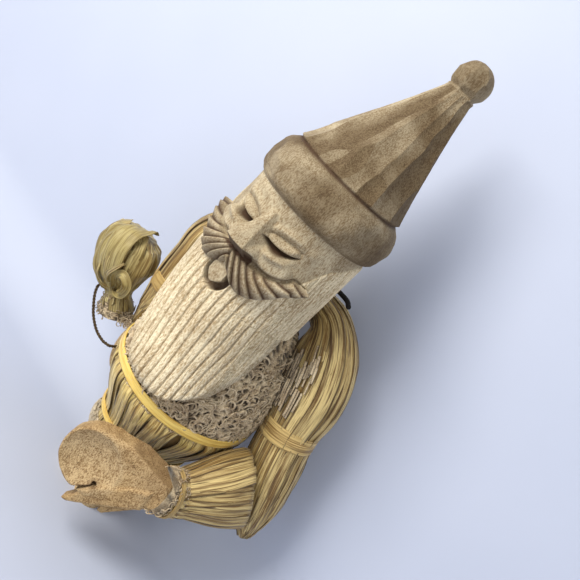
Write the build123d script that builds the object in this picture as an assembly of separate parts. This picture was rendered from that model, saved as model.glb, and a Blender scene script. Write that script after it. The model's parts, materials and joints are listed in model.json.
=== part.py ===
from build123d import *
import os

os.makedirs("parts", exist_ok=True)

# A standing tomte gnome in folk style: a carved wooden head with a hat and a long beard, on a
# body of wood, matted plant fibre and tied husk strips, with mitten hands and a small sack.
# Millimetres. +Z is up, -Y is the way the body faces, +X is the figure's left. The origin is on
# the ground, under the body's axis.

# ---- driving dimensions -------------------------------------------------------------------
# head block
HEAD_X = -5.0
HEAD_Y = -25.0
FACE_RADIUS = 36.5
CHIN_Z = 168.0
BEARD_TIP_Z = 103.0
BRIM_BOTTOM_Z = 226.0
BRIM_TOP_Z = 251.0
BRIM_RADIUS = 39.8
CONE_BASE_RADIUS = 35.3
CONE_TOP_RADIUS = 8.6
CONE_TOP_Z = 321.0
CONE_LEAN_X = 2.6
CONE_LEAN_Y = 17.0
BALL_RADIUS = 10.8
BALL_Z = 329.0

# body, as radii about the Z axis at heights
CORE_BOTTOM_Z = 50.0
CORE_TOP_Z = 166.0
WAIST_RADIUS = 47.3
BELT_RADIUS = 49.0
BELT_HEIGHT = 5.6
BELT_Z = 98.0
BELT_TILT = 6.0
SKIRT_BOTTOM_Z = 46.0
HEM_BAND_Z = 57.0
HEM_BAND_HEIGHT = 4.4
HEM_BAND_LOW_RADIUS = 30.5
HEM_BAND_HIGH_RADIUS = 32.8
TRIM_TOP_Z = 45.8
TRIM_BOTTOM_Z = 29.0

# feet and legs
FOOT_X = 10.0
FOOT_LENGTH = 45.0
FOOT_WIDTH = 19.96
FOOT_HEIGHT = 15.0
FOOT_CENTRE_Y = 1.0
ANKLE_RADIUS = 8.8
ANKLE_TOP_Z = 28.0
LEG_RADIUS = 4.0
LEG_Y = 4.0
LEG_TOP_Z = 74.0
LEG_BOTTOM_Z = 8.0

# pegs, wire, cord and straps
NECK_PEG_RADIUS = 6.0
NECK_PEG_BOTTOM_Z = 138.0
NECK_PEG_TOP_Z = 200.0
NECK_PEG_X = HEAD_X + 2
NECK_PEG_Y = -8.0
WIRE_RADIUS = 1.5
STRAP_THICKNESS = 1.3
ARM_STRAP_WIDTH = 9.0
WRIST_STRAP_WIDTH = 7.0
CORD_RADIUS = 1.0
CORD_HOLE_RADIUS = 1.06
KNOT_RADIUS = 2.0
MITTEN_THICKNESS = 13.0
FILLING_CLEARANCE = 0.4
CHEST_CLEARANCE = 2.0
BINDING_WIDTH = 4.0
BINDING_RADIUS = 12.0

# places where the sack's cord turns: in the right hand and at the sack's neck
CORD_HOLE = (-50.0, -4.0, 71.0)
EYELET = (-87.0, -7.5, 89.5)

# wall profiles as (radius, z), bottom to top or top to bottom
CORE_WALL = [(21, CORE_BOTTOM_Z), (24, 60), (33, 92), (34, 118), (29, 142), (19, CORE_TOP_Z)]
SKIRT_WALL = [(WAIST_RADIUS, 112), (WAIST_RADIUS, 92), (43.5, 82), (38.5, 71), (32.5, 60), (29.5, 50),
              (28.5, SKIRT_BOTTOM_Z)]
VEST_WALL = [(WAIST_RADIUS, 88), (WAIST_RADIUS, 116), (44.5, 131), (39.5, 143), (32, 157), (24, 167)]
TRIM_WALL = [(31.5, TRIM_TOP_Z), (30.5, 40), (27, 34), (22.5, TRIM_BOTTOM_Z)]

# bundles of husk as stations of (x, y, z, half width, half depth) from the neck to the wrist
LEFT_ARM = [
    (10, 25, 184, 9.5, 9.5),
    (31, 17, 183, 12.5, 12),
    (46, 14, 169, 17, 15),
    (56, 14, 149, 18, 16),
    (62, 15, 124, 15, 14),
    (69.5, 17, 98, 17, 15.5),
    (79, 19, 76, 13.5, 13),
    (87.5, 21, 56, 4, 5),
]
RIGHT_ARM = [
    (-6, 25, 184, 9.5, 9.5),
    (-30, 21, 186, 10.5, 10.5),
    (-49, 9, 181, 12, 12),
    (-56, -1, 166, 12.5, 13),
    (-54, -5, 149, 12, 12.5),
    (-52.5, -4.5, 126, 12, 12),
    (-53.2, -4, 110, 8, 9),
    (-54, -3, 102, 4.6, 7.4),
    (-53.6, -1.5, 92, 3.6, 6.5),
]
LEFT_BAND_STATION = 4
RIGHT_BAND_STATION = 5
FOREARM = [
    (70, 4, 84, 24, 13),
    (64, -10, 77, 21, 14.5),
    (57, -25, 69.5, 14.5, 11),
    (55, -29.5, 67.5, 13, 10),
]
FOREARM_DEPTH = (-0.65, 0.47, -0.40)
WRIST_BAND_PLACE = (56.4, -26.4, 68.9, 14.4, 11.0)
CUFF_LEFT = [(55, -29.7, 67.4, 12.6, 9.6), (52.5, -38, 67.6, 13.4, 10.2), (50.8, -44.5, 68.6, 14.6, 9.5)]
CUFF_RIGHT = [(-53.6, -1.4, 91.8, 4, 6.8), (-53, 0, 86.5, 6, 8.5)]
MITTEN_WRIST = (50.5, -46.5, 70.0)
MITTEN_FINGERS = (-0.883, -0.357, -0.304)
MITTEN_PALM_FACES = (0.375, -0.927, 0)
RIGHT_HAND = (-48.5, 3.0, 71.5)
SACK = [
    (-74.5, -2.2, 88, 8.2, 6.8),
    (-77.5, -3.5, 93.5, 6.5, 6),
    (-80.5, -4.7, 98.5, 10.5, 9.5),
    (-86, -7, 108, 17.5, 15),
    (-89.5, -8, 120, 18.5, 15.5),
    (-91.5, -8.5, 131, 14.5, 12.5),
    (-92.5, -9, 137, 7.5, 7),
]
SACK_FLARE = [(-71, -0.8, 81.5, 11.5, 7.5), (-74.5, -2.2, 88, 8.2, 6.8)]
SACK_HOLLOW_CENTRE = (-88.3, -7.6, 116)
SACK_HOLLOW_RADII = (13.5, 11.5, 14.5)
SACK_MOUTH = [(-69.3, -0.2, 78, 10, 7.8), (-70.8, -0.75, 81.0, 11, 7.4)]
SACK_NECK_STATION = 1

# a turned piece whose base, not its middle, sits at its place
ON_BASE = (Align.CENTER, Align.CENTER, Align.MIN)


# ---- helpers ------------------------------------------------------------------------------
def revolve_profile(points):
    """A closed solid turned about Z from (radius, z) corners joined by straight lines."""
    return revolve(make_face(Plane.XZ * Polyline(*points, close=True)), Axis.Z)


def turned_shell(outer_points, inner_points):
    """A shell about Z with a smooth outer wall and a straight-sided inner wall."""
    outer = Spline(*outer_points)
    rest = Polyline(outer_points[-1], *inner_points, outer_points[0])
    return revolve(make_face(Plane.XZ * (Curve() + [outer, rest])), Axis.Z)


def upright(x, y, z, radius):
    """A flat circle at a height, a section of an upright loft."""
    return Pos(x, y, z) * Circle(radius)


def tangent(stations, index):
    """The direction of a path of stations at one of them."""
    before = Vector(*stations[max(index - 1, 0)][:3])
    after = Vector(*stations[min(index + 1, len(stations) - 1)][:3])
    return (after - before).normalized()


def section_plane(centre, way, across):
    """A plane across a path: its normal is way and its Y runs as near to across as it can."""
    across = Vector(*across)
    depth = (across - way * way.dot(across)).normalized()
    return Plane(origin=centre, x_dir=depth.cross(way), z_dir=way)


def bundle(stations, across=(0, 1, 0)):
    """A tapering bundle through stations of (x, y, z, half width, half depth)."""
    sections = []
    for index, (x, y, z, half_width, half_depth) in enumerate(stations):
        plane = section_plane((x, y, z), tangent(stations, index), across)
        sections.append(plane * Ellipse(half_width, half_depth))
    return loft(sections)


def rod(points, radius):
    """A round rod that follows a polyline, with rounded corners."""
    solid = Pos(*points[0]) * Sphere(radius)
    for start, end in zip(points, points[1:]):
        way = Vector(*end) - Vector(*start)
        solid += Plane(origin=start, z_dir=way.normalized()) * Cylinder(radius, way.length, align=ON_BASE)
        solid += Pos(*end) * Sphere(radius)
    return solid


def along_y(place, radius, length):
    """A cylinder centred on a place, with its axis along Y."""
    return Pos(*place) * Rot(90, 0, 0) * Cylinder(radius, length)


def strap(bound, place, way, width, thickness, across=(0, 1, 0)):
    """A flat strap tied round a bundle, at a place of (x, y, z, half width, half depth)."""
    x, y, z, half_width, half_depth = place
    plane = section_plane(Vector(x, y, z) - way * (width / 2), way, across)
    outer = extrude(plane * Ellipse(half_width + thickness, half_depth + thickness), width)
    return only_solid(outer - bound)


def arm_band(arm, stations, index):
    """The strap round an upper arm, at one of its stations."""
    return strap(arm, stations[index], tangent(stations, index), ARM_STRAP_WIDTH, STRAP_THICKNESS)


def only_solid(shape):
    """The largest solid of a shape, without the slivers that a cut can leave."""
    return max(shape.solids(), key=lambda solid: solid.volume)


# ---- head: one carved block with hat, face, moustache and beard -----------------------------
def make_hat():
    tip_x = HEAD_X + CONE_LEAN_X
    tip_y = HEAD_Y + CONE_LEAN_Y
    cone = loft(
        [
            upright(HEAD_X, HEAD_Y, BRIM_TOP_Z - 0.5, CONE_BASE_RADIUS),
            upright(HEAD_X + 0.8, HEAD_Y + 5.5, 278, 26.5),
            upright(HEAD_X + 1.8, HEAD_Y + 11.5, 303, 15.5),
            upright(tip_x, tip_y, CONE_TOP_Z, CONE_TOP_RADIUS),
        ]
    )
    ball = Pos(tip_x, tip_y, BALL_Z) * Sphere(BALL_RADIUS)
    brim = loft(
        [
            upright(HEAD_X, HEAD_Y, BRIM_BOTTOM_Z, FACE_RADIUS + 0.5),
            upright(HEAD_X, HEAD_Y, BRIM_BOTTOM_Z + 5, BRIM_RADIUS - 0.6),
            upright(HEAD_X, HEAD_Y, (BRIM_BOTTOM_Z + BRIM_TOP_Z) / 2, BRIM_RADIUS),
            upright(HEAD_X, HEAD_Y, BRIM_TOP_Z - 5, BRIM_RADIUS - 1),
            upright(HEAD_X, HEAD_Y, BRIM_TOP_Z, CONE_BASE_RADIUS + 0.6),
        ]
    )
    return cone + ball + brim


def make_beard():
    """Face block and long beard: full width at the face, an apron hollowed for the chest below."""
    widths = [(BRIM_BOTTOM_Z, 0), (CHIN_Z, 0), (146, 0), (128, 2), (113, 9), (BEARD_TIP_Z, 25)]
    apron = loft(
        [Pos(HEAD_X, HEAD_Y, z) * Ellipse(FACE_RADIUS - inset, FACE_RADIUS) for z, inset in widths]
    )
    behind = Polyline(
        (60, CHIN_Z), (-22, CHIN_Z), (-26, 150), (-38, 125), (-40, 90), (60, 90), close=True
    )
    chest = [(radius + CHEST_CLEARANCE, z) for radius, z in VEST_WALL]
    room = revolve_profile([(0, VEST_WALL[0][1])] + chest + [(26, CHIN_Z), (0, CHIN_Z)])
    return apron - extrude(make_face(Plane.YZ * behind), 60, both=True) - room


def make_face_details():
    """Nose, cheeks, moustache lobes and lower lip that stand out of the face."""
    front_y = HEAD_Y - FACE_RADIUS
    details = loft(
        [
            Pos(HEAD_X, front_y + 3, 213) * Rectangle(5, 4),
            Pos(HEAD_X, front_y - 2, 203) * Rectangle(8, 8),
            Pos(HEAD_X, front_y - 3.5, 196) * Rectangle(13, 10),
        ],
        ruled=True,
    )
    for side in (-1, 1):
        lobe = Pos(HEAD_X + side * 13, front_y + 2.5, 190) * Rot(0, side * 14, 0)
        cheek = Pos(HEAD_X + side * 17, front_y + 5.5, 201)
        details += lobe * scale(Sphere(1), by=(15, 5, 6.5))
        details += cheek * scale(Sphere(1), by=(10, 4.5, 7))
    details += Pos(HEAD_X, front_y + 1.5, 176) * scale(Sphere(1), by=(5.5, 3.5, 5))
    return details


def cut_eyes(head):
    """Two closed eyes: narrow crescent slits."""
    crescent = Circle(9) - Pos(0, 2.2) * Circle(9.4)
    for side in (-1, 1):
        place = Pos(HEAD_X + side * 14, HEAD_Y - FACE_RADIUS + 5, 216) * Rot(90, 0, 0)
        head -= extrude(place * crescent, 12, both=True)
    return head


def make_head():
    head = cut_eyes(make_hat() + make_beard() + make_face_details())
    return only_solid(head - make_neck_peg())


def make_neck_peg():
    height = NECK_PEG_TOP_Z - NECK_PEG_BOTTOM_Z
    return Pos(NECK_PEG_X, NECK_PEG_Y, NECK_PEG_BOTTOM_Z) * Cylinder(NECK_PEG_RADIUS, height, align=ON_BASE)


# ---- body -----------------------------------------------------------------------------------
def core_radius(height):
    """The core's radius at a height, between the corners of its wall."""
    for (low_radius, low), (high_radius, high) in zip(CORE_WALL, CORE_WALL[1:]):
        if low <= height <= high:
            return low_radius + (high_radius - low_radius) * (height - low) / (high - low)
    return CORE_WALL[-1][0]


def make_core():
    return revolve_profile([(0, CORE_BOTTOM_Z)] + CORE_WALL + [(0, CORE_TOP_Z)])


def belt_groove():
    """The ring of room that the belt presses into the vest and skirt."""
    height = BELT_HEIGHT + 3
    ring = Cylinder(BELT_RADIUS + 3, height) - Cylinder(BELT_RADIUS - STRAP_THICKNESS - 0.05, height)
    return Pos(0, 0, BELT_Z) * Rot(BELT_TILT, 0, 0) * ring


def waist_block(upper):
    """A big block above or below the tilted plane of the belt."""
    align = (Align.CENTER, Align.CENTER, Align.MIN if upper else Align.MAX)
    return Pos(0, 0, BELT_Z) * Rot(BELT_TILT, 0, 0) * Box(200, 200, 60, align=align)


def make_vest():
    bottom_z = VEST_WALL[0][1]
    inner = [(19, 167), (19, CORE_TOP_Z), (29, 142), (34, 118), (33, 92), (core_radius(bottom_z), bottom_z)]
    return turned_shell(VEST_WALL, inner) - waist_block(False) - belt_groove()


def make_skirt():
    top_z = SKIRT_WALL[0][1]
    inner = [(21, SKIRT_BOTTOM_Z), (21, CORE_BOTTOM_Z), (24, 60), (33, 92), (core_radius(top_z), top_z)]
    return turned_shell(SKIRT_WALL, inner) - waist_block(True) - belt_groove()


def make_belt():
    ring = Cylinder(BELT_RADIUS, BELT_HEIGHT) - Cylinder(BELT_RADIUS - STRAP_THICKNESS, BELT_HEIGHT + 2)
    return Pos(0, 0, BELT_Z) * Rot(BELT_TILT, 0, 0) * ring


def make_hem_band(skirt):
    """A strip round the skirt just above its hem; its inside follows the skirt's taper."""
    bottom_radius = HEM_BAND_LOW_RADIUS + STRAP_THICKNESS
    top_radius = HEM_BAND_HIGH_RADIUS + STRAP_THICKNESS
    ring = Pos(0, 0, HEM_BAND_Z) * Cone(bottom_radius, top_radius, HEM_BAND_HEIGHT)
    ring -= Pos(0, 0, HEM_BAND_Z) * Cylinder(HEM_BAND_LOW_RADIUS - 3.5, HEM_BAND_HEIGHT + 2)
    return only_solid(ring - skirt)


def make_trim():
    return turned_shell(TRIM_WALL, [(17, TRIM_BOTTOM_Z), (24, TRIM_TOP_Z)])


# ---- feet -----------------------------------------------------------------------------------
def make_leg_peg(side):
    height = LEG_TOP_Z - LEG_BOTTOM_Z
    return Pos(side * FOOT_X, LEG_Y, LEG_BOTTOM_Z) * Cylinder(LEG_RADIUS, height, align=ON_BASE)


def make_boot(side):
    shoe = extrude(SlotOverall(FOOT_LENGTH, FOOT_WIDTH, rotation=90), FOOT_HEIGHT)
    shoe = Pos(side * FOOT_X, FOOT_CENTRE_Y, 0) * fillet(shoe.edges().group_by(Axis.Z)[-1], 5)
    ankle = Pos(side * FOOT_X, LEG_Y, 5) * Cylinder(ANKLE_RADIUS, ANKLE_TOP_Z - 5, align=ON_BASE)
    return only_solid(shoe + ankle - make_leg_peg(side))


# ---- hands ----------------------------------------------------------------------------------
def mitten_blank():
    """A mitten in its own plane: X along the fingers, Y towards the thumb, Z out of the palm."""
    palm = make_hull((Pos(39, 7) * Circle(20.5) + Pos(5, 1) * Rectangle(10, 30)).edges())
    thumb_outline = Polyline((4, 6), (30, 16), (47.5, 35), (30, 30), (4, 17), close=True)
    back_outline = Polyline((2, 8), (26, 18), (26, 34.5), (2, 19), close=True)
    blank = extrude(Pos(0, 0, -MITTEN_THICKNESS) * palm, MITTEN_THICKNESS)
    blank += extrude(Pos(0, 0, -7) * make_face(thumb_outline), 8.5)
    blank += extrude(Pos(0, 0, -MITTEN_THICKNESS) * make_face(back_outline), 6)
    dish = Pos(40, 7, 44) * Sphere(47)
    return only_solid(blank - dish)


def make_mitten_left():
    plane = Plane(origin=MITTEN_WRIST, x_dir=MITTEN_FINGERS, z_dir=MITTEN_PALM_FACES)
    return plane * mitten_blank()


def make_mitten_right():
    """The right hand, hanging, with a cross hole that the sack's cord turns in."""
    hand = scale(Sphere(1), by=(7, 10.5, 17.5)) & Box(13, 19, 32)
    hand = Pos(*RIGHT_HAND) * Rot(0, -16, 0) * hand
    return hand - along_y(CORD_HOLE, CORD_HOLE_RADIUS, 60)


# ---- sack on its cord -----------------------------------------------------------------------
def make_sack():
    """The gathered husk sack: a bulb above the tied neck and a flared mouth below it."""
    return only_solid(bundle(SACK) + bundle(SACK_FLARE) - sack_room(0))


def sack_room(inset):
    """The egg-shaped room inside the sack, or with an inset the stuffing that fills it."""
    radii = [radius - inset for radius in SACK_HOLLOW_RADII]
    return Pos(*SACK_HOLLOW_CENTRE) * scale(Sphere(1), by=tuple(radii))


def make_sack_tie(sack):
    """The strip tied round the sack's neck, with the eyelet that the cord's end turns in."""
    neck = SACK[SACK_NECK_STATION]
    ring = strap(sack, neck, tangent(SACK, SACK_NECK_STATION), 4.5, 1.6)
    x, y, z = EYELET
    bridge = rod([(x + 1.5, y, z + 0.3), (x + 4.5, y + 1.2, z + 1.6)], 1.5)
    eyelet = along_y(EYELET, 2.6, 4) + bridge - sack
    return only_solid(ring + eyelet - along_y(EYELET, CORD_HOLE_RADIUS, 12))


def make_cord():
    """Twisted twine: a pin through the hand's hole, an arc, and a pin through the eyelet."""
    hole_x, hole_y, hole_z = CORD_HOLE
    eye_x, eye_y, eye_z = EYELET
    front_y = hole_y - 8.5
    back_y = hole_y + 21
    eye_front_y = eye_y - 4.2
    eye_back_y = eye_y + 4
    hand_pin = along_y((hole_x, (front_y + back_y) / 2, hole_z), CORD_RADIUS, back_y - front_y)
    eye_pin = along_y((eye_x, (eye_front_y + eye_back_y) / 2, eye_z), CORD_RADIUS, eye_back_y - eye_front_y)
    hand_knot = Pos(hole_x, back_y, hole_z) * Sphere(KNOT_RADIUS)
    eye_knot = Pos(eye_x, eye_back_y, eye_z) * Sphere(CORD_RADIUS + 0.5)
    arc = rod(
        [
            (hole_x, front_y, hole_z),
            (-57, front_y, 69),
            (-65, front_y, 69.5),
            (-74, front_y, 73.5),
            (-81, front_y, 79.5),
            (-85.5, eye_front_y, 84.5),
            (eye_x, eye_front_y, eye_z),
        ],
        CORD_RADIUS,
    )
    return only_solid(hand_pin + eye_pin + hand_knot + eye_knot + arc)


# ---- wire and binding -----------------------------------------------------------------------
def make_arm_wire():
    """One wire from wrist to wrist, through the core under the neck."""
    left = [(20, 8, 158), (44, 14, 166), (56, 14, 149), (62, 15, 124), (69.5, 17, 98), (74, 14, 82),
            (64, -10, 76.5), (55, -30, 67.3), (50.5, -40.5, 68)]
    right = [(-20, 8, 158), (-50, 3, 174), (-56, -5, 162), (-54, -5, 149), (-52.5, -4.5, 126),
             (-52.5, -3, 106), (-52.8, 0, 95), (-52.2, 1, 84)]
    return rod(list(reversed(left)) + right, WIRE_RADIUS)


def make_neck_binding():
    """Black cord wound into a thick puck between the two husk bundles, with a tail over the left one."""
    plane = Plane(origin=(-BINDING_WIDTH / 2, 25, 184), x_dir=(0, 1, 0), z_dir=(1, 0, 0))
    turns = extrude(plane * Circle(BINDING_RADIUS), BINDING_WIDTH)
    tail = rod([(3, 25, 195), (20, 18, 198.5), (31, 14, 199.5)], 1.6)
    return only_solid(turns + tail)


# ---- assembly -------------------------------------------------------------------------------
def build_parts():
    parts = {}
    wire = make_arm_wire()
    peg = make_neck_peg()
    legs = {"left": make_leg_peg(1), "right": make_leg_peg(-1)}

    # trunk, from the inside out
    head = make_head()
    core = make_core() - peg - legs["left"] - legs["right"] - wire
    skirt = make_skirt()
    arm_left = bundle(LEFT_ARM)
    arm_right = bundle(RIGHT_ARM)
    band_left = arm_band(arm_left, LEFT_ARM, LEFT_BAND_STATION)
    band_right = arm_band(arm_right, RIGHT_ARM, RIGHT_BAND_STATION)
    parts["carved_head"] = head
    parts["neck_peg"] = peg
    parts["torso_core"] = only_solid(core)
    parts["vest_fibre"] = only_solid(make_vest() - arm_left - arm_right - band_left - band_right - wire)
    parts["belt_strip"] = make_belt()
    parts["skirt_husk"] = only_solid(skirt)
    parts["hem_band"] = make_hem_band(skirt)
    parts["hem_trim"] = make_trim()
    parts["neck_binding"] = make_neck_binding()
    for name, side in (("left", 1), ("right", -1)):
        parts["leg_peg_" + name] = legs[name]
        parts["boot_" + name] = make_boot(side)

    # left arm, bent forward, with an open palm
    forearm = bundle(FOREARM, FOREARM_DEPTH) - arm_left
    cuff_left = bundle(CUFF_LEFT, FOREARM_DEPTH)
    mitten_left = make_mitten_left()
    wrist_way = tangent(FOREARM, 2)
    wrist_band = strap(forearm, WRIST_BAND_PLACE, wrist_way, WRIST_STRAP_WIDTH, STRAP_THICKNESS, FOREARM_DEPTH)
    parts["arm_wire"] = wire
    parts["arm_husk_left"] = only_solid(arm_left - wire)
    parts["arm_band_left"] = band_left
    parts["forearm_husk_left"] = only_solid(forearm - wire - cuff_left)
    parts["wrist_band_left"] = only_solid(wrist_band - cuff_left)
    parts["cuff_fibre_left"] = only_solid(cuff_left - mitten_left - wire)
    parts["mitten_left"] = only_solid(mitten_left - wire)

    # right arm, hanging, that holds the sack's cord
    hand_right = make_mitten_right()
    cuff_right = bundle(CUFF_RIGHT)
    parts["arm_husk_right"] = only_solid(arm_right - wire)
    parts["arm_band_right"] = band_right
    parts["cuff_fibre_right"] = only_solid(cuff_right - arm_right - hand_right - wire)
    parts["mitten_right"] = only_solid(hand_right - wire)

    # sack and cord
    sack = make_sack()
    parts["cord"] = make_cord()
    parts["sack_husk"] = sack
    parts["sack_filling"] = sack_room(FILLING_CLEARANCE)
    parts["sack_tie"] = make_sack_tie(sack)
    parts["sack_mouth_fibre"] = bundle(SACK_MOUTH)
    return parts


for node, shape in build_parts().items():
    export_step(shape, f"parts/{node}.step")
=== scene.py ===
import math

import bmesh
import bpy
import numpy as np
import openvdb
from mathutils import Matrix, Vector
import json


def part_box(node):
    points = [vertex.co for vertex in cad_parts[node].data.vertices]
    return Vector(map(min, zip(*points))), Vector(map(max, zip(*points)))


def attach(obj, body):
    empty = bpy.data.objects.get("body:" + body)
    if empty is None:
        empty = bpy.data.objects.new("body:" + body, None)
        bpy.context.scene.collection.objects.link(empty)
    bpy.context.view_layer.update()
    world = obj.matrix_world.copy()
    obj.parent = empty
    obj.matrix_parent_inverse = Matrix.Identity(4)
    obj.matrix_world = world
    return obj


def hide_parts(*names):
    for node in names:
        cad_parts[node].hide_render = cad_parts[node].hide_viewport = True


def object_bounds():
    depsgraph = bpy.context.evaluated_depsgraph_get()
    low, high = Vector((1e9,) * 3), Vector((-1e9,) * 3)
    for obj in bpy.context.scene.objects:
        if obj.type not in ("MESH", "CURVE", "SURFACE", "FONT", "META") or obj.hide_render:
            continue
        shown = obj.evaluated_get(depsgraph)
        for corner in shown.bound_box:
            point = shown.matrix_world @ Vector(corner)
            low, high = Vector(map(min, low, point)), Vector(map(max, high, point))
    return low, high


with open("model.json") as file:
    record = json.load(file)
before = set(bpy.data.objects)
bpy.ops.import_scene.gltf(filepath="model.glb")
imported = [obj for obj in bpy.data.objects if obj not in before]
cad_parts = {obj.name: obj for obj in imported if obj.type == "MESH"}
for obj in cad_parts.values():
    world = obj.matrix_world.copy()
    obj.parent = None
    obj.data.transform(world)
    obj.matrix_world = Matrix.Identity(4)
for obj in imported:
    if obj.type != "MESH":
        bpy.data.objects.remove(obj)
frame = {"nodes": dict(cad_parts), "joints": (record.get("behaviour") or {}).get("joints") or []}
cad_low, cad_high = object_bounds()
nodes = frame["nodes"]
joints = {joint["name"]: joint for joint in frame["joints"]}

MM = 0.001
TURN = 2 * math.pi
random = np.random.default_rng(11)

# ---- where things are: millimetres in the row frame, the same as the CAD's own stations ----
head_low, head_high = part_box("carved_head")
HEAD_X = (head_low.x + head_high.x) / 2 / MM - 0.2
HEAD_Y = -25.0
FACE_RADIUS = 36.5
BEARD_TIP_Z = head_low.z / MM
BEARD_SWING = 8.0  # how far the beard's tip swings towards the figure's left
CHIN_Z = 168.0
BRIM_BOTTOM_Z = 226.0
GROOVE_Z = 251.0
CONE_TOP_Z = 321.0
BALL_Z = 329.0
BALL_RADIUS = 10.8
BELT_Z = 98.0
BELT_SLOPE = 0.105
BELT_RADIUS = 49.0
BELT_HALF_WIDTH = 2.8
ARM_INSET = 1.7
FOREARM_INSET = 1.0
NECK_Y = 25.0
NECK_Z = 184.0

# rows of (x, y, z, half width, half depth) along each bundle
LEFT_ARM = [
    (10, 25, 184, 9.5, 9.5),
    (31, 17, 183, 12.5, 12),
    (44, 14, 169, 19.5, 15),
    (53.5, 14, 149, 21, 16),
    (60.5, 15, 124, 17, 14),
    (69.5, 17, 98, 17, 15.5),
    (79, 19, 76, 13.5, 13),
    (87.5, 21, 56, 4, 5),
]
RIGHT_ARM = [
    (-6, 25, 184, 9.5, 9.5),
    (-30, 21, 186, 10.5, 10.5),
    (-49, 9, 181, 12, 12),
    (-56, -1, 166, 12.5, 13),
    (-54, -5, 149, 12, 12.5),
    (-52.5, -4.5, 126, 12, 12),
    (-53.2, -4, 110, 8, 9),
    (-54, -3, 102, 4.6, 7.4),
    (-53.6, -1.5, 92, 3.6, 6.5),
]
FOREARM = [
    (70, 4, 84, 24, 13),
    (64, -10, 77, 21, 14.5),
    (57, -25, 69.5, 14.5, 11),
    (55, -29.5, 67.5, 13, 10),
    (53, -34.5, 67, 12.6, 9.8),
    (51.6, -38.5, 66.9, 12.8, 10),
]
FOREARM_DEPTH = (-0.65, 0.47, -0.40)
CUFF_LEFT = [(56, -27.5, 68, 12.4, 9.4), (52.5, -37, 67.8, 12.6, 9.4), (51, -42.5, 68.6, 13.2, 9)]
CUFF_RIGHT = [(-53.6, -1.4, 92.5, 4, 6.6), (-53.2, -0.4, 89.5, 5.2, 7.6), (-52.8, 0.2, 87, 5.6, 8)]
SKIRT = [(0, 0, 100.5, 44.5, 44.5), (0, 0, 95, 45.2, 45.2), (0, 0, 90, 45.6, 45.6), (0, 0, 82, 42.6, 42.6),
         (0, 0, 71, 37.0, 37.0), (0, 0, 60, 31, 31), (0, 0, 52, 29, 29), (0, 0, 45, 28.5, 28.5)]
SACK = [
    (-74.5, -2.2, 88, 8.2, 6.8),
    (-77.5, -3.5, 93.5, 6.5, 6),
    (-80.5, -4.7, 98.5, 10.5, 9.5),
    (-86, -7, 108, 17.5, 15),
    (-89.5, -8, 120, 18.5, 15.5),
    (-91.3, -8.5, 127.0, 15.5, 13.0),
    (-91.8, -9, 131, 11.5, 10),
    (-92.0, -9, 132.6, 4, 3.5),
]
SACK_FLARE = [(-76.5, -3.1, 92, 7.4, 6.6), (-73.2, -1.6, 86, 10.8, 8.2), (-71, -0.8, 81.5, 12.6, 8.8),
              (-69.5, -0.2, 78.6, 12.2, 8.4)]
MITTEN_WRIST = np.array([50.5, -46.5, 70.0])
MITTEN_FINGERS = np.array([-0.883, -0.357, -0.304])
MITTEN_PALM = np.array([0.375, -0.927, 0.0])
CORD_PATH = [(-50, 17, 71), (-50, -9.5, 71), (-53, -12.2, 70), (-57, -12.5, 69), (-65, -12.5, 69.5),
             (-74, -12.5, 73.5), (-81, -12.5, 79.5), (-85.5, -12, 84.5), (-87, -11, 88.5), (-87, -3.8, 89.5)]


# ---- numbers: smooth random fields, curves and closed meshes ----
def noise(points, scale, seed):
    """Smooth random values between -1 and 1 at points, with features of about one scale."""
    table = np.random.default_rng(seed).uniform(-1, 1, (32, 32, 32))
    place = np.asarray(points, float) / scale
    base = np.floor(place).astype(int)
    part = place - base
    part = part * part * (3 - 2 * part)
    total = np.zeros(place.shape[:-1])
    for corner in range(8):
        bits = np.array([corner & 1, corner >> 1 & 1, corner >> 2 & 1])
        index = (base + bits) % 32
        weight = np.prod(np.where(bits, part, 1 - part), axis=-1)
        total += weight * table[index[..., 0], index[..., 1], index[..., 2]]
    return total


def smoothstep(value, low, high):
    t = np.clip((value - low) / (high - low), 0, 1)
    return t * t * (3 - 2 * t)


def fade(value, low, high):
    """1 up to low, then falling smoothly to 0 at high."""
    return 1 - smoothstep(value, low, high)


def hill(value, middle, width):
    """A bell of height 1 about its middle."""
    return np.exp(-(((value - middle) / width) ** 2))


def unit(vectors):
    return vectors / np.maximum(np.linalg.norm(vectors, axis=-1, keepdims=True), 1e-9)


def circle(count):
    """Evenly spaced angles of one full turn."""
    return np.linspace(0, TURN, count, endpoint=False)


def grid_of(*values):
    """Numbers of any fitting shapes as an array of points, for the noise function."""
    return np.stack(np.broadcast_arrays(*values), -1)


def doubled(values):
    """Values across a sheet's upper side, followed by the same values back across its lower side."""
    return np.concatenate([values, values[..., ::-1]], -1)


def sheet(upper, lower):
    """Loops round a thin sheet, from the points of its two sides."""
    return np.concatenate([upper, lower[:, ::-1]], 1)


def path_length(path):
    return np.linalg.norm(np.diff(path, axis=0), axis=1).sum()


def spline(points, count):
    """A smooth curve through rows of numbers (Catmull-Rom), sampled count times."""
    points = np.asarray(points, float)
    padded = np.vstack([2 * points[0] - points[1], points, 2 * points[-1] - points[-2]])
    u = np.linspace(0, len(points) - 1, count)
    k = np.minimum(u.astype(int), len(points) - 2)
    t = (u - k)[:, None]
    a, b, c, d = padded[k], padded[k + 1], padded[k + 2], padded[k + 3]
    return 0.5 * (2 * b + (c - a) * t + (2 * a - 5 * b + 4 * c - d) * t**2 + (3 * b - a - 3 * c + d) * t**3)


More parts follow.
